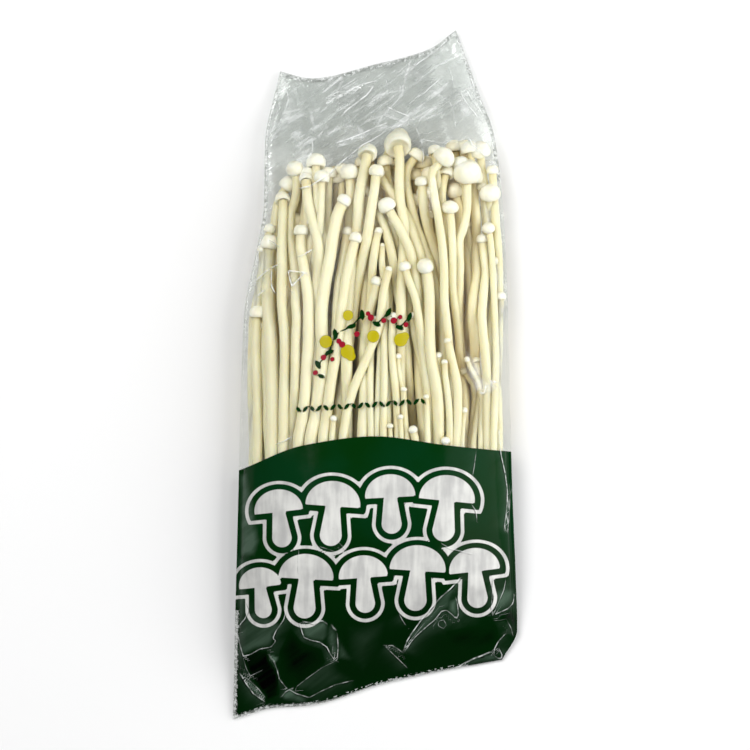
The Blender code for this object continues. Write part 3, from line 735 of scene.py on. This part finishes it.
def stem_material():
    made, tree = new_material("mushroom_stem")
    fibres = soft_noise(tree, object_place(tree, (1400, 50, 1400)), 1.0)
    blotch = soft_noise(tree, object_place(tree), 90.0)
    shade = (fibres * 0.6 + blotch * 0.7 - 0.05).at_most(1.0)
    color = mix_colors(tree, shade, STEM_DARK, STEM_LIGHT)
    # Painted shade: the flesh is darker near a cap and deeper in the bunch, where less light reaches.
    color = mix_colors(tree, stored(tree, "cap_shade") * 0.55, color, STEM_SHADE)
    color = mix_colors(tree, stored(tree, "deep") * 0.7, color, STEM_SHADE)
    look = (color, 0.45, add_bump(tree, fibres, 0.25, 0.0003))
    return flesh_material(made, tree, look, (0.5, (1.0, 0.8, 0.4), 0.0035))


def store_depth(mesh):
    """How deep in the bunch each point is, from 0 under the front web to 1, and how near a cap; both
    darken the flesh as painted shade.
    """
    x, y, z = point_places(mesh) / MM
    store(mesh, "deep", np.clip((under_front[cells_at(x, y)] - z - 4.0) / 10.0, 0, 1))
    store(mesh, "cap_shade", [max(1 - heads.find(vert.co)[2] / (CAP_SHADE_REACH * MM), 0) for vert in mesh.vertices])


def stems_mesh(name, chosen, every):
    curve = bpy.data.curves.new(name, "CURVE")
    curve.dimensions = "3D"
    curve.bevel_depth = 1.0
    curve.bevel_resolution = STEM_ROUND
    curve.use_fill_caps = True
    for points, radius, *_ in chosen:
        kept = [*range(0, len(points) - 1, every), len(points) - 1]
        spline = curve.splines.new("POLY")
        spline.points.add(len(kept) - 1)
        for i, (point, at) in enumerate(zip(spline.points, kept)):
            part = i / (len(kept) - 1)
            swell = 0.96 + 0.14 * math.sin(math.pi * min(2.2 * part, 1) * 0.5) - 0.2 * part**3
            point.co = (*(Vector(points[at]) * MM), 1)
            point.radius = radius[at] * MM * swell
    holder = add_object(name, curve)
    mesh = bpy.data.meshes.new_from_object(holder.evaluated_get(bpy.context.evaluated_depsgraph_get()))
    bpy.data.objects.remove(holder)
    bm = bmesh.new()
    bm.from_mesh(mesh)
    bm.normal_update()
    for vert in bm.verts:
        at = vert.co
        ridge = noise.noise(Vector((at.x * 420, at.y * 28, at.z * 420)))
        vert.co += vert.normal * (ridge + 0.6 * noise.noise(at * 300)) * STEM_LUMPS * MM
    bm.to_mesh(mesh)
    bm.free()
    mesh.shade_smooth()
    store_depth(mesh)
    return mesh


heads = kdtree.KDTree(len(mushrooms))
for i, mushroom in enumerate(mushrooms):
    heads.insert(Vector(mushroom[0][0]) * MM, i)
heads.balance()
stem_finish = stem_material()
front_stems = stems_mesh("front_stems", mushrooms[: len(SEEN)], FRONT_EVERY)
inner_stems = stems_mesh("inner_stems", mushrooms[len(SEEN) :], INNER_EVERY)
add_piece("front_stems", front_stems, stem_finish, "mushroom", "enoki_bunch")
add_piece("inner_stems", inner_stems, stem_finish, "mushroom", "enoki_bunch")

# The root clump
# The stems grow out of one solid lumpy mass, which was cut square from its growing bottle. It lies
# behind the printed band.

CLUMP_WIDE = 0.8
CLUMP_FROM = 0.075
CLUMP_TO = 0.175
CLUMP_LUMPS = 1.1
CLUMP_CUTS = 27
CLUMP_SQUARE, CLUMP_ROUND = 0.62, 0.38
CLEAR_BELOW, CLEAR_ABOVE = 0.4, 0.8

clump = bmesh.new()
bmesh.ops.create_cube(clump, size=2.0)
bmesh.ops.subdivide_edges(clump, edges=clump.edges, cuts=CLUMP_CUTS, use_grid_fill=True)
for vert in clump.verts:
    a, b, c = vert.co * CLUMP_SQUARE + vert.co.normalized() * CLUMP_ROUND
    x, y = plan(a * CLUMP_WIDE, CLUMP_FROM + (CLUMP_TO - CLUMP_FROM) * (b + 1) / 2)
    lumps = CLUMP_LUMPS * noise.noise(Vector((x, y, c * 9)) * 0.35)
    low, high = over_back[cells_at(x, y)] + CLEAR_BELOW, under_front[cells_at(x, y)] - CLEAR_ABOVE
    vert.co = Vector((x + lumps, y + lumps, low + (high - low) * (c + 1) / 2 - abs(lumps) * c)) * MM
bmesh.ops.recalc_face_normals(clump, faces=clump.faces)
clump_mesh = mesh_of(clump, "root_clump")
clump_mesh.shade_smooth()
store_depth(clump_mesh)
add_piece("root_clump", clump_mesh, stem_finish, "mushroom", "enoki_bunch")

# The caps
# Thick domes with the margin turned in under them, whiter and smoother than the stems. One sits on
# the end of each stem and nods with it, and no two are quite the same shape.

CAP_LIGHT = (0.95, 0.93, 0.80, 1)
CAP_DARK = (0.90, 0.85, 0.64, 1)
CAP_SEGMENTS = 18
CAP_LUMPS = 0.22
CAP_VARIES = ((0.94, 1.06), (0.94, 1.06), (0.88, 1.1))
CAP_OUTLINE = (
    (0.0, 1.13), (0.36, 1.1), (0.67, 0.97), (0.89, 0.7), (0.99, 0.38), (1.0, 0.07),
    (0.94, -0.16), (0.82, -0.24), (0.7, -0.14), (0.5, 0.02), (0.0, 0.08),
)  # fmt: skip


def cap_material():
    made, tree = new_material("mushroom_cap")
    place = object_place(tree)
    color = mix_colors(tree, soft_noise(tree, place, 260.0).step(0.45, 0.5), CAP_DARK, CAP_LIGHT)
    # Painted shade: caps deeper in the bunch are darker.
    color = mix_colors(tree, stored(tree, "deep") * 0.6, color, STEM_SHADE)
    look = (color, 0.35, add_bump(tree, soft_noise(tree, place, 1600.0), 0.15, 0.0002))
    return flesh_material(made, tree, look, (0.3, (1.0, 0.8, 0.5), 0.003))


def caps_mesh():
    shape = bmesh.new()
    outline = [shape.verts.new((x, 0, z)) for x, z in CAP_OUTLINE]
    edges = [shape.edges.new(pair) for pair in zip(outline, outline[1:])]
    bmesh.ops.spin(
        shape, geom=outline + edges, cent=(0, 0, 0), axis=(0, 0, 1), angle=2 * math.pi,
        steps=CAP_SEGMENTS, use_merge=True,
    )  # fmt: skip
    bmesh.ops.remove_doubles(shape, verts=shape.verts, dist=1e-4)
    bmesh.ops.recalc_face_normals(shape, faces=shape.faces)
    one = mesh_of(shape, "cap_shape")
    bm = bmesh.new()
    for points, _stem, cap, nod in mushrooms:
        before = len(bm.verts)
        bm.from_mesh(one)
        bm.verts.ensure_lookup_table()
        along = Vector(points[0] - points[2])
        along.z *= 0.5
        along.normalize()
        lean = math.radians(nod)
        level = Vector((along.x, along.y, 0)).normalized()
        axis = level * math.cos(lean) + Vector((0, 0, math.sin(lean)))
        turn = Vector((0, 0, 1)).rotation_difference(axis).to_matrix().to_4x4()
        spin = Matrix.Rotation(rng.uniform(0, 6), 4, "Z")
        size = Matrix.Diagonal((*(cap * MM * rng.uniform(*varies) for varies in CAP_VARIES), 1))
        change = Matrix.Translation(Vector(points[0]) * MM) @ turn @ spin @ size
        bmesh.ops.transform(bm, matrix=change, verts=bm.verts[before:])
    bm.normal_update()
    for vert in bm.verts:
        vert.co += vert.normal * noise.noise(vert.co * 320) * CAP_LUMPS * MM
    mesh = mesh_of(bm, "enoki_caps")
    bpy.data.meshes.remove(one)
    mesh.shade_smooth()
    store_depth(mesh)
    return mesh


add_piece("enoki_caps", caps_mesh(), cap_material(), "mushroom", "enoki_bunch")

# The front web of the bag
# Clear packing film stretched over the bunch, creased here and there, with a dark green printed band
# over its lower part. It stands empty above the caps.

FRONT_COLUMNS = 150
FRONT_ROWS = 318
FRONT_LIMP_FROM = 0.85


def disc_shape(x, y, middle_x, middle_y, radius):
    return np.hypot(x - middle_x, y - middle_y) - radius


def bar_shape(x, y, ax, ay, bx, by, start, end):
    """A bar from one point to another whose half width goes from start to end."""
    length = math.hypot(bx - ax, by - ay)
    along = np.clip(((x - ax) * (bx - ax) + (y - ay) * (by - ay)) / length**2, 0, 1)
    away = np.hypot(x - ax - along * (bx - ax), y - ay - along * (by - ay))
    return away - (start + (end - start) * along)


def mushroom_print(x, y, middle_x, middle_y, size, turn):
    """A plump printed mushroom: a dome over a stem that widens towards its foot."""
    c, s = math.cos(math.radians(turn)), math.sin(math.radians(turn))
    along = ((x - middle_x) * c + (y - middle_y) * s) / size
    up = ((y - middle_y) * c - (x - middle_x) * s) / size
    dome = np.maximum(disc_shape(along, up * 1.15, 0, 0, 1), -up - 0.05)
    stem = bar_shape(along, up, 0, -0.15, 0, -1.1, 0.27, 0.4)
    return np.minimum(dome, stem) * size


PRINTED_MUSHROOMS = (
    (-33.0, -46.5, 8.4, 7), (-14.4, -44.4, 9.4, -4), (5.2, -41.4, 8.6, 3), (24.6, -42.6, 9.6, -6),
    (-39.5, -72.5, 7.4, 8), (-23.6, -69.4, 9.4, -3), (-4.0, -69.0, 8.4, 4), (14.6, -66.6, 9.6, -4),
    (34.2, -67.0, 8.8, 6),
)  # fmt: skip


def nearest(x, y, shape, rows):
    """How far each point is outside the nearest of some printed shapes."""
    away = 0 * x + FAR
    for row in rows:
        away = np.minimum(away, shape(x, y, *row))
    return away


def leaf_shape(x, y, middle_x, middle_y, length, turn):
    """A pointed leaf, which two circles cut out of each other."""
    c, s = math.cos(math.radians(turn)), math.sin(math.radians(turn))
    along = (x - middle_x) * c + (y - middle_y) * s
    aside = (y - middle_y) * c - (x - middle_x) * s
    return np.hypot(along, np.abs(aside) + 0.5 * length) - 0.72 * length


LEAVES = (
    (-19.5, 3.5, 3.6, 120), (-15.6, 7.8, 3.4, 20), (-13.6, 14.0, 3.8, 100), (-8.0, 16.6, 3.4, 10),
    (-4.4, 20.6, 3.8, 95), (0.6, 17.4, 3.4, -25), (4.6, 21.4, 3.6, 60), (8.4, 16.2, 3.4, -20),
    (11.8, 19.8, 3.5, 70), (-18.4, -0.4, 3.0, -20),
)  # fmt: skip
TWIG = 0.22
LEAF_ROW = (-26.2, -11.8, 16.4, -9.0, 19)
SMALL_LEAF, SMALL_TURN = 2.7, 50
BERRIES = (
    (-17.6, 6.0, 1.0), (-11.2, 10.4, 1.1), (-12.4, 11.6, 0.9), (-6.2, 14.0, 1.0), (-1.4, 19.6, 1.1),
    (-2.4, 21.0, 0.8), (3.0, 18.6, 0.9), (6.4, 18.6, 1.1), (10.6, 17.2, 0.9), (-20.4, 0.8, 0.9),
    (-14.6, 5.4, 0.8), (8.6, 19.8, 0.8),
)  # fmt: skip
BLOTS = (
    (-16.8, 11.4, 2.2), (-9.4, 8.0, 2.4), (-0.6, 13.2, 2.1), (8.8, 12.0, 2.3), (-9.2, 20.4, 1.8),
    (-8.2, 6.4, 1.6), (10.2, 13.2, 1.5),
)  # fmt: skip


def green_print(x, y):
    """The garland's leaves, the twigs that join them, and the row of small leaves below it."""
    twigs = [(*leaf[:2], *after[:2], TWIG, TWIG) for leaf, after in zip(LEAVES[:-2], LEAVES[1:])]
    ax, ay, bx, by, count = LEAF_ROW
    small = []
    for i in range(count):
        part = i / (count - 1)
        turn = SMALL_TURN if i % 2 else -SMALL_TURN
        small.append((ax + (bx - ax) * part, ay + (by - ay) * part, SMALL_LEAF, turn))
    return np.minimum(nearest(x, y, leaf_shape, (*LEAVES, *small)), nearest(x, y, bar_shape, twigs))


# Creases are drawn as white lines that are partly painted glints, with painted shade beside them.
# Each row is how white the crease is, how wide its ridge is, and the points that it runs through.
CREASES = (
    (1.0, 0.3, -29.9, 35.8, -24, 35.1, -28.5, 30.3, -29.9, 35.8),
    (0.9, 0.3, -35.4, 36.8, -35.6, 32.7, -35.4, 30.3, -34.1, 27.9),
    (0.5, 0.3, -42.7, 31, -38.9, 34.4, -35.8, 36.8, -32.7, 38.2),
    (0.8, 0.35, -40.4, 27.2, -37.8, 29.6),
    (0.6, 0.3, -29.2, 29.3, -27.8, 27.9),
    (0.7, 0.3, -26.1, 40.6, -24.4, 41.3, -21.3, 43.1),
    (0.9, 0.3, -33.7, -23.7, -31.3, -22.7, -28.5, -21.1),
    (0.75, 0.35, -25.8, 64.1, -22.3, 64.8, -18.9, 66.9, -15.1, 69.6, -12, 72.7, -8.5, 75.5, -4.4, 78.9,
        -0.9, 80.7, 3.6, 83.8),
    (0.7, 0.3, 32.2, 81.7, 33.6, 78.9, 36.3, 76.7, 39.8, 73.8, 43.6, 70.5),
    (0.45, 0.25, 12.9, 87.2, 14.6, 83.8, 16, 79.6, 16.7, 75.5, 16.3, 72),
    (0.5, 0.3, -38.9, 45.5, -36.1, 46.3, -33, 44.1),
    (0.8, 0.4, -16.8, 93.8, -14.4, 95.5, -10.2, 97.6, -5.8, 100, 0.4, 101.7),
    (1.0, 0.45, -11.6, 89.3, -9.6, 91.4, -6.5, 93.8, -3, 96.5, -0.6, 99.6),
    (0.7, 0.3, -16.5, 95.8, -12.7, 97.9, -8.5, 100.3),
    (0.8, 0.35, -15.4, 94.5, -11.3, 96.2, -7.8, 98.6, -3.7, 101),
    (0.6, 0.3, -9.9, 95.2, -7.5, 97.2, -5.1, 99.6),
    (0.6, 0.3, -1.3, 94.8, 0.8, 96.5, 2.9, 97.9),
    (0.9, 0.4, -13, 79.8, -8.9, 81.2, -4.4, 82.9, -0.2, 85, 4.2, 86.7),
    (0.4, 0.3, -13.4, 78.2, -8.5, 79.6, -3.3, 81.7),
    (0.6, 0.3, -22.3, 85.1, -20.9, 83.8, -19.6, 82.2, -17.8, 84.1),
    (0.7, 0.35, 4.1, 92.4, 7.3, 90.8, 11.5, 89.1),
    (0.6, 0.3, 11.8, 88.3, 9.4, 86.2, 7, 84.8),
    (0.7, 0.35, 14.6, 95.8, 17, 97.2, 19.1, 99.3, 21.1, 101, 23.2, 102.7),
    (0.8, 0.35, 17, 109.3, 19.8, 111.4, 22.9, 113.8, 24.9, 115.9),
    (0.6, 0.3, 10.1, 103.1, 12.9, 105.8, 15.6, 108.3, 19.1, 110.3),
    (0.5, 0.3, 8.4, 95.8, 8.7, 98.9, 8.7, 101.7),
    (0.4, 0.3, 4.2, 95.8, 4.2, 98.9, 3.9, 102.4),
    (0.6, 0.35, -27.2, 103.4, -25.4, 101.4, -24.4, 99.3),
    (0.5, 0.4, -30.3, 98.3, -29.9, 94.8, -31.3, 90.7, -33, 86.5),
    (0.5, 0.4, -32.7, 94.8, -33.7, 90.7, -35.1, 87.2),
    (0.9, 0.35, 32.9, 103.8, 33.9, 100.3, 34.9, 96.9),
    (0.6, 0.3, 31.5, 98.3, 33.6, 94.8, 36.3, 91.4, 38.7, 87.9),
    (0.6, 0.3, 29.4, 97.6, 31.5, 93.8, 34.3, 90.3, 37, 86.9),
    (0.5, 0.3, 25.3, 94.8, 26.7, 92, 27.4, 88.6, 27.7, 85.1),
    (0.4, 0.3, 25.3, 106.5, 26.7, 103.1, 27, 98.9),
    (0.5, 0.4, -21.6, 80.7, -21.3, 77.6, -22.7, 74.8),
    (0.4, 0.35, -27.2, 73.4, -24.4, 74.8, -21.6, 75.8),
    (0.4, 0.3, 15.6, 81, 22.5, 79.6, 28, 80.3, 32.2, 81.7),
    (0.9, 0.35, 9.9, -94.9, 11.1, -91.5, 12.5, -89.1, 15.6, -84.6, 19.1, -80.1, 22.5, -76.3, 26, -73.2,
        29.4, -69.4),
    (0.9, 0.3, 10.3, -95.3, 12.5, -91.8, 14.2, -89.8, 18, -86.3, 20.5, -84.2, 22.9, -81.1, 24.6, -80.8),
    (0.5, 0.3, 24.6, -80.8, 26.3, -82.2, 28, -83.9, 28.7, -82.5, 28.4, -79.1, 27.7, -76.3),
    (0.4, 0.25, 21.8, -84.6, 23.6, -84.2, 24.6, -86, 23.6, -87.4, 21.8, -86.3, 21.8, -84.6),
    (0.5, 0.3, 3.2, -93.2, 6, -93.2, 7.7, -94.3, 9.8, -96),
    (0.45, 0.25, 3.2, -93.2, 5.3, -95.3, 8, -98, 11.1, -101.2),
    (0.9, 0.45, 28.7, -101, 31.5, -99.4, 34.3, -98, 37, -97, 40.1, -95.6),
    (0.7, 0.3, 41.2, -97, 41.2, -94.9, 42.5, -92.2, 45, -89.4),
    (0.6, 0.3, 41.2, -97, 42.5, -98, 43.9, -98.4, 43.9, -96.7, 42.9, -94.6),
    (0.6, 0.3, 40.8, -69.8, 40.5, -74.2, 40.1, -78.7, 40.5, -82.9),
    (0.6, 0.3, 40.5, -82.9, 42.9, -81.8, 46, -80.5, 47.7, -78.7, 48.1, -75.6),
    (0.5, 0.25, 40.8, -82.5, 42.5, -78.4, 44.3, -74.2, 45, -70.8),
    (0.4, 0.25, 45.6, -84.9, 47, -87.4, 47.7, -90.1),
    (0.4, 0.25, 41.2, -84.6, 43.2, -84.6, 45.3, -84.2),
    (0.5, 0.25, 8.4, -82.2, 9.4, -84.2, 10.5, -86),
    (0.8, 0.3, -47.5, -88.7, -46.5, -93.2, -45.4, -97, -43, -96.3, -39.6, -94.3, -35.8, -93.6, -34.1,
        -91.5, -35.1, -90.5, -34.1, -88, -32.7, -86, -31.3, -83.9, -30.3, -80.1),
    (0.6, 0.3, -47.5, -88.7, -46.5, -86, -44.7, -83.9, -43.7, -81.1, -44.7, -78.7),
    (0.5, 0.25, -45.4, -97.7, -44.4, -101.2, -43, -103.9, -38.9, -101.8),
    (0.8, 0.3, -25.8, -85.3, -25.1, -88, -24.4, -90.1, -22, -91.1, -18.9, -91.8, -16.5, -93.6, -15.4,
        -96, -14, -98, -13, -98.7),
    (0.6, 0.3, -13, -88.7, -12.7, -93.2, -13, -98),
    (0.7, 0.35, -24.7, -84.6, -22.3, -84.9, -20.9, -85.3, -18.2, -84.2, -16.5, -85.3),
    (0.8, 0.35, -46.5, -103.2, -44.4, -106.7, -42, -110.1, -38.2, -112.9),
    (0.5, 0.25, -46.5, -103.2, -43.4, -105.3, -40.3, -108.4, -38.2, -111.2),
    (0.7, 0.3, -36.8, -96.3, -34.7, -99.1, -33.7, -101.8, -33, -104.9, -30.6, -108.1, -27.2, -110.1,
        -22.7, -111.5),
    (0.5, 0.3, -22.7, -111.5, -18.9, -109.4, -13.7, -107, -7.8, -105.6),
    (0.35, 0.25, -27.2, -107.7, -23, -104.3, -18.2, -100.8, -14, -98.7),
    (0.5, 0.3, -32.3, -111.2, -30.9, -109.4, -28.5, -108.1),
    (0.4, 0.25, -43, -117.7, -38.9, -115, -36.1, -113.6),
    (0.3, 0.25, -18.9, -58.7, -15.4, -59.8, -12, -61.1),
    (0.3, 0.25, -26.1, -60.1, -26.1, -63.9, -26.1, -68),
    (0.3, 0.25, -12.7, -57, -10.6, -59.1, -8.9, -61.1),
    (0.4, 0.25, 34.7, -25.8, 34, -31.4, 33.4, -34.7),
    (0.7, 0.3, 42.6, -19, 43.3, -27.3, 44.8, -34, 45.6, -40, 45.4, -45.2, 44.4, -53.4),
    (0.6, 0.25, 47.4, -38.5, 46.5, -41.5, 46.3, -47.4, 45.6, -54.5),
    (0.5, 0.3, 33.2, -44.5, 34.7, -46.7, 34.9, -50.1),
    (0.5, 0.3, 22.8, -57.7, 25.7, -59.4, 28.7, -60.2, 33.2, -61.3),
    (1.0, 0.5, -36.6, -96.2, -35.6, -97.4, -34.6, -98.8),
    (1.0, 0.5, -14.8, -85.8, -14.2, -86.8, -13.4, -87.6),
    (0.9, 0.4, 39.4, -1.7, 41.9, -2.5),
    (0.8, 0.35, 39.4, -1.9, 41.0, -4.9),
    (0.7, 0.35, 35.8, -6.1, 37.4, -6.3, 38.4, -2.5),
)  # fmt: skip
CREASE_WIDTH = 0.3
CREASE_REACH = 1.6
# How far and how strongly the painted sheen beside each crease reaches.
SHEEN_REACH = 1.6
SHEEN_SHARE = 0.45
# Each row is how much light the facet of limp film beside the creases sends up, below 0 in shade, over
# how far it fades in, and its corners.
FACETS = (
    (0.5, 1.5, -47.6, -89.6, -43.7, -82.8, -41.3, -81.1, -34.1, -84.1, -31.5, -86.2, -34.5, -89.2,
        -34.9, -91.8, -35.8, -93.5, -41.3, -94.6, -45.4, -97, -47.4, -93.5),
    (-0.95, 0.8, -45.2, -97.4, -41.3, -94.8, -37.1, -94.8, -36.6, -98.2, -34.1, -101.7, -33.2, -105.9,
        -33.6, -110.7, -37.5, -112.8, -37.9, -110.7, -43.1, -103.8),
    (0.65, 1.2, -25.5, -84.9, -21.6, -84.5, -17.3, -84.3, -16, -86.2, -16.5, -89.6, -17.7, -91.4, -21.6,
        -91.2, -24.6, -89.6),
    (0.55, 1.6, -16, -85, -13.5, -87.9, -12.8, -93.9, -13.5, -98.2, -15.2, -95.7, -16.5, -91.8),
    (0.45, 2.5, -12.8, -89.6, -10.9, -93.1, -7.5, -98.6, -12.8, -97.8),
    (1.2, 0.7, -36.6, -96.1, -33.2, -97.4, -34.1, -99.5, -35.3, -98.6),
    (1.1, 1.0, -46.9, -103, -43.1, -105.9, -37.9, -110.7, -37.9, -112.8, -41.8, -109.4, -45.2, -105.9),
    (0.6, 1.2, -33.2, -110.7, -29.3, -108.1, -25, -111.1, -23.3, -113.7, -27.6, -112.8, -31, -112.4),
    (0.16, 4.0, -27.6, -107.2, -16.5, -99.1, -7, -105.1, -22, -111.3),
    (0.12, 6.0, -10, -86, 4, -84, 2, -94, -4, -103, -9, -98),
    (-0.6, 4.0, -29, -87, -24, -92, -18, -94, -17, -99, -26, -107, -31, -103, -33, -95),
    (0.3, 1.2, 29, -70.1, 24.7, -74.1, 19.2, -81.1, 12.7, -88.5, 10, -95, 14.3, -90.1, 19.2, -85.5,
        23.2, -80.8, 25.4, -79.9, 26.3, -75.6),
    (0.75, 1.6, 25.4, -77.5, 28.4, -76.2, 28.4, -83.6, 25, -81.1),
    (0.5, 2.0, 40.8, -74.1, 44.5, -73.1, 48.2, -74.1, 48, -78.1, 46.3, -79.9, 40.8, -83.3),
    (-0.9, 2.0, 41.2, -85, 46.4, -85, 48.6, -92, 49, -84, 47, -80),
    (-0.5, 5.0, 24, -88, 34, -87, 42, -86, 43, -93, 33, -95, 26, -93),
    (0.65, 1.2, 38.3, -96.3, 40.8, -95.3, 41.4, -97.2, 43.5, -98.1, 36.5, -99.3, 29.4, -100.6),
    (0.14, 6.0, 14, -90, 22, -84, 33, -77, 38, -80, 36, -86, 24, -90),
    (0.4, 1.5, -47.5, -62, -44.5, -64, -44, -80, -46.5, -88, -48, -80),
    (0.85, 2.2, -46.8, -34, -43.8, -33.5, -41.5, -45, -39.5, -57, -41, -62.5, -46.6, -62.5),
    (1.3, 2.0, 31, 9, 36, 4, 38, -2, 42, -3, 40, -7, 34, -6, 31, 2),
    (0.8, 2.5, 39, 20, 43.5, 12, 44.5, -4, 42, -16, 39.5, -4),
    (2.2, 1.5, 27.4, 96, 31.8, 95.5, 33.9, 89.4, 30.1, 88.3),
    (1.3, 1.5, -15.5, 80.7, 4.3, 86.2, 6.5, 83.9, -4.5, 81.7, -12.2, 78.4),
    (1.0, 3.0, -30, 100, -26, 100, -28, 88, -33, 80, -34, 86),
)  # fmt: skip


def run_of_creases(x, y):
    """For each point: the side distance to the nearest crease, how white that is, the ridge height that
    all of them add there, and how much painted sheen lies on one side of them."""
    side, white, ridge, painted_sheen = 0 * x + FAR, 0 * x, 0 * x, 0 * x
    for strength, width, *run in CREASES:
        points = np.array(list(zip(run[0::2], run[1::2])), float)
        lengths = np.hypot(*np.diff(points, axis=0).T)
        starts = np.concatenate(([0], np.cumsum(lengths)))
        near, near_side, near_run = 0 * x + FAR, 0 * x + FAR, 0 * x
        for (ax, ay), (bx, by), length, start in zip(points, points[1:], lengths, starts):
            ex, ey = (bx - ax) / length, (by - ay) / length
            along = (x - ax) * ex + (y - ay) * ey
            aside = (x - ax) * ey - (y - ay) * ex
            beyond = along - np.clip(along, 0, length)
            far = np.hypot(aside, beyond)
            closer = far < near
            near = np.where(closer, far, near)
            near_side = np.where(closer, np.copysign(far, aside), near_side)
            near_run = np.where(closer, start + along, near_run)
        left = np.minimum(near_run, starts[-1] - near_run)
        taper = np.clip((left + 0.4) / 1.6, 0, 1)
        ridge += strength * taper * width * np.exp(-((near / (2.4 * width)) ** 2))
        # A painted sheen lies on one side of each crease and fades away from it.
        beside = SHEEN_SHARE * strength * taper * np.exp(-near / SHEEN_REACH) * (near_side > 0)
        painted_sheen = np.maximum(painted_sheen, beside)
        chosen = near < np.abs(side)
        side = np.where(chosen, near_side * CREASE_WIDTH / width, side)
        white = np.where(chosen, strength * taper * (near < CREASE_REACH), white)
    return side, white, ridge, painted_sheen


def facet_sheen(x, y):
    """The light that the facets add at each point, which fades in from their outlines."""
    total = 0 * x
    for light, soft, *outline in FACETS:
        corners = np.array(list(zip(outline[0::2], outline[1::2])), float)
        near, inside = 0 * x + FAR, np.zeros(len(x), bool)
        for (ax, ay), (bx, by) in zip(corners, np.roll(corners, -1, axis=0)):
            near = np.minimum(near, bar_shape(x, y, ax, ay, bx, by, 0, 0))
            crossed = (ay > y) != (by > y)
            inside ^= crossed & (x < ax + (bx - ax) * (y - ay) / (by - ay if by != ay else 1))
        total = total + light * np.where(inside, np.clip(near / soft, 0, 1), 0)
    return total


# Each row is the width of one family of flat facets, its direction in degrees, its start and height.
CRUMPLES = ((15.0, 38, 0.1, 0.7), (23.0, 62, 0.4, 0.6), (19.0, -24, 0.7, 0.45), (31.0, 12, 0.2, 0.5))


def crumpled(x, y):
    """Limp film: flat facets between straight ridges, which several families of folds make."""
    height = 0 * x
    for wide, degrees, start, tall in CRUMPLES:
        c, s = math.cos(math.radians(degrees)), math.sin(math.radians(degrees))
        bend = 2.5 * np.sin((x * c + y * s) / 9.0 + start * 9)
        across = (y * c - x * s + bend) / wide + start
        height = height + tall * np.abs((across % 1.0) * 2 - 1)
    return height


def front_surface(u, t, x, y):
    flat_out = np.clip(edge_distance(u, t) / 4.0, 0, 1)
    corners = np.clip((0.2 - t) / 0.06, 0, 1) * np.clip((np.abs(u) - 0.1) / 0.5, 0, 1)
    limp = np.maximum(np.clip((t - 0.84) / 0.06, 0, 1), corners) * crumpled(x, y) * 0.9
    return front_height(u, t) - (0.5 - 0.8 * run_of_creases(x, y)[2] - limp) * flat_out


def front_values(u, t, x, y):
    side, white, _ridge, painted_sheen = run_of_creases(x, y)
    return web_values(FRONT_LIMP_FROM, u, t, x, y) | {
        "silver_print": nearest(x, y, mushroom_print, PRINTED_MUSHROOMS),
        "green_print": green_print(x, y),
        "red_print": nearest(x, y, disc_shape, BERRIES),
        "yellow_print": nearest(x, y, disc_shape, BLOTS),
        "crease_side": side,
        "crease_white": white,
        "sheen": painted_sheen + facet_sheen(x, y),
    }


front_mesh = web_mesh("front_web", FRONT_COLUMNS, FRONT_ROWS, front_surface, front_values)
front_web = add_piece("front_web", front_mesh, web_material("front_film"), "front_film", "front_film")
add_wall(front_web)

# The floor, the lights and the camera
# The bag lies on a plain pale floor, and the camera looks straight down on it. A large soft light
# stands at each side of it, with a small lamp for the glints, under a sky that is dimmer overhead.

floor_bm = bmesh.new()
bmesh.ops.create_grid(floor_bm, x_segments=1, y_segments=1, size=2.0)
floor = add_object("floor", mesh_of(floor_bm, "floor"))
floor_finish, floor_tree = new_material("floor")
set_surface(floor_tree, add_body(floor_tree, {"Base Color": (0.9, 0.9, 0.9, 1), "Roughness": 0.8}))
floor.data.materials.append(floor_finish)

CAMERA_HEIGHT = 2.0
FRAME_WIDTH = 0.25875
AIM_HEIGHT = 0.008
SENSOR = 36.0

scene = bpy.context.scene
camera = add_object("camera", bpy.data.cameras.new("camera"))
camera.location = (0, 0, AIM_HEIGHT + CAMERA_HEIGHT)
camera.data.sensor_width = SENSOR
camera.data.lens = SENSOR * CAMERA_HEIGHT / FRAME_WIDTH
scene.camera = camera

for name, place, size, power in (
    ("key", (-0.42, 0.35, 0.92), 0.7, 8.2),
    ("fill", (0.86, -0.05, 0.57), 1.2, 12.5),
    ("lamp", (0.25, 0.35, 0.9), 0.09, 0.8),
):
    light = add_object(name, bpy.data.lights.new(name, "AREA"))
    light.data.size = size
    light.data.energy = power
    light.location = place
    light.rotation_euler = (-Vector(place)).to_track_quat("-Z", "Y").to_euler()

world = bpy.data.worlds.new("studio")
world.use_nodes = True
sky = world.node_tree
sky.nodes.clear()
direction = add_node(sky, "ShaderNodeTexCoord", {}, {}, 0)
rise = add_node(sky, "ShaderNodeSeparateXYZ", {}, {"Vector": direction}, 2)
glow = {"Color": (1, 1, 1, 1), "Strength": 0.15 - rise.step(0.8, 0.3) * 0.11}
glow = add_node(sky, "ShaderNodeBackground", {}, glow)
add_node(sky, "ShaderNodeOutputWorld", {}, {"Surface": glow})
scene.world = world
scene.view_settings.view_transform = "Standard"
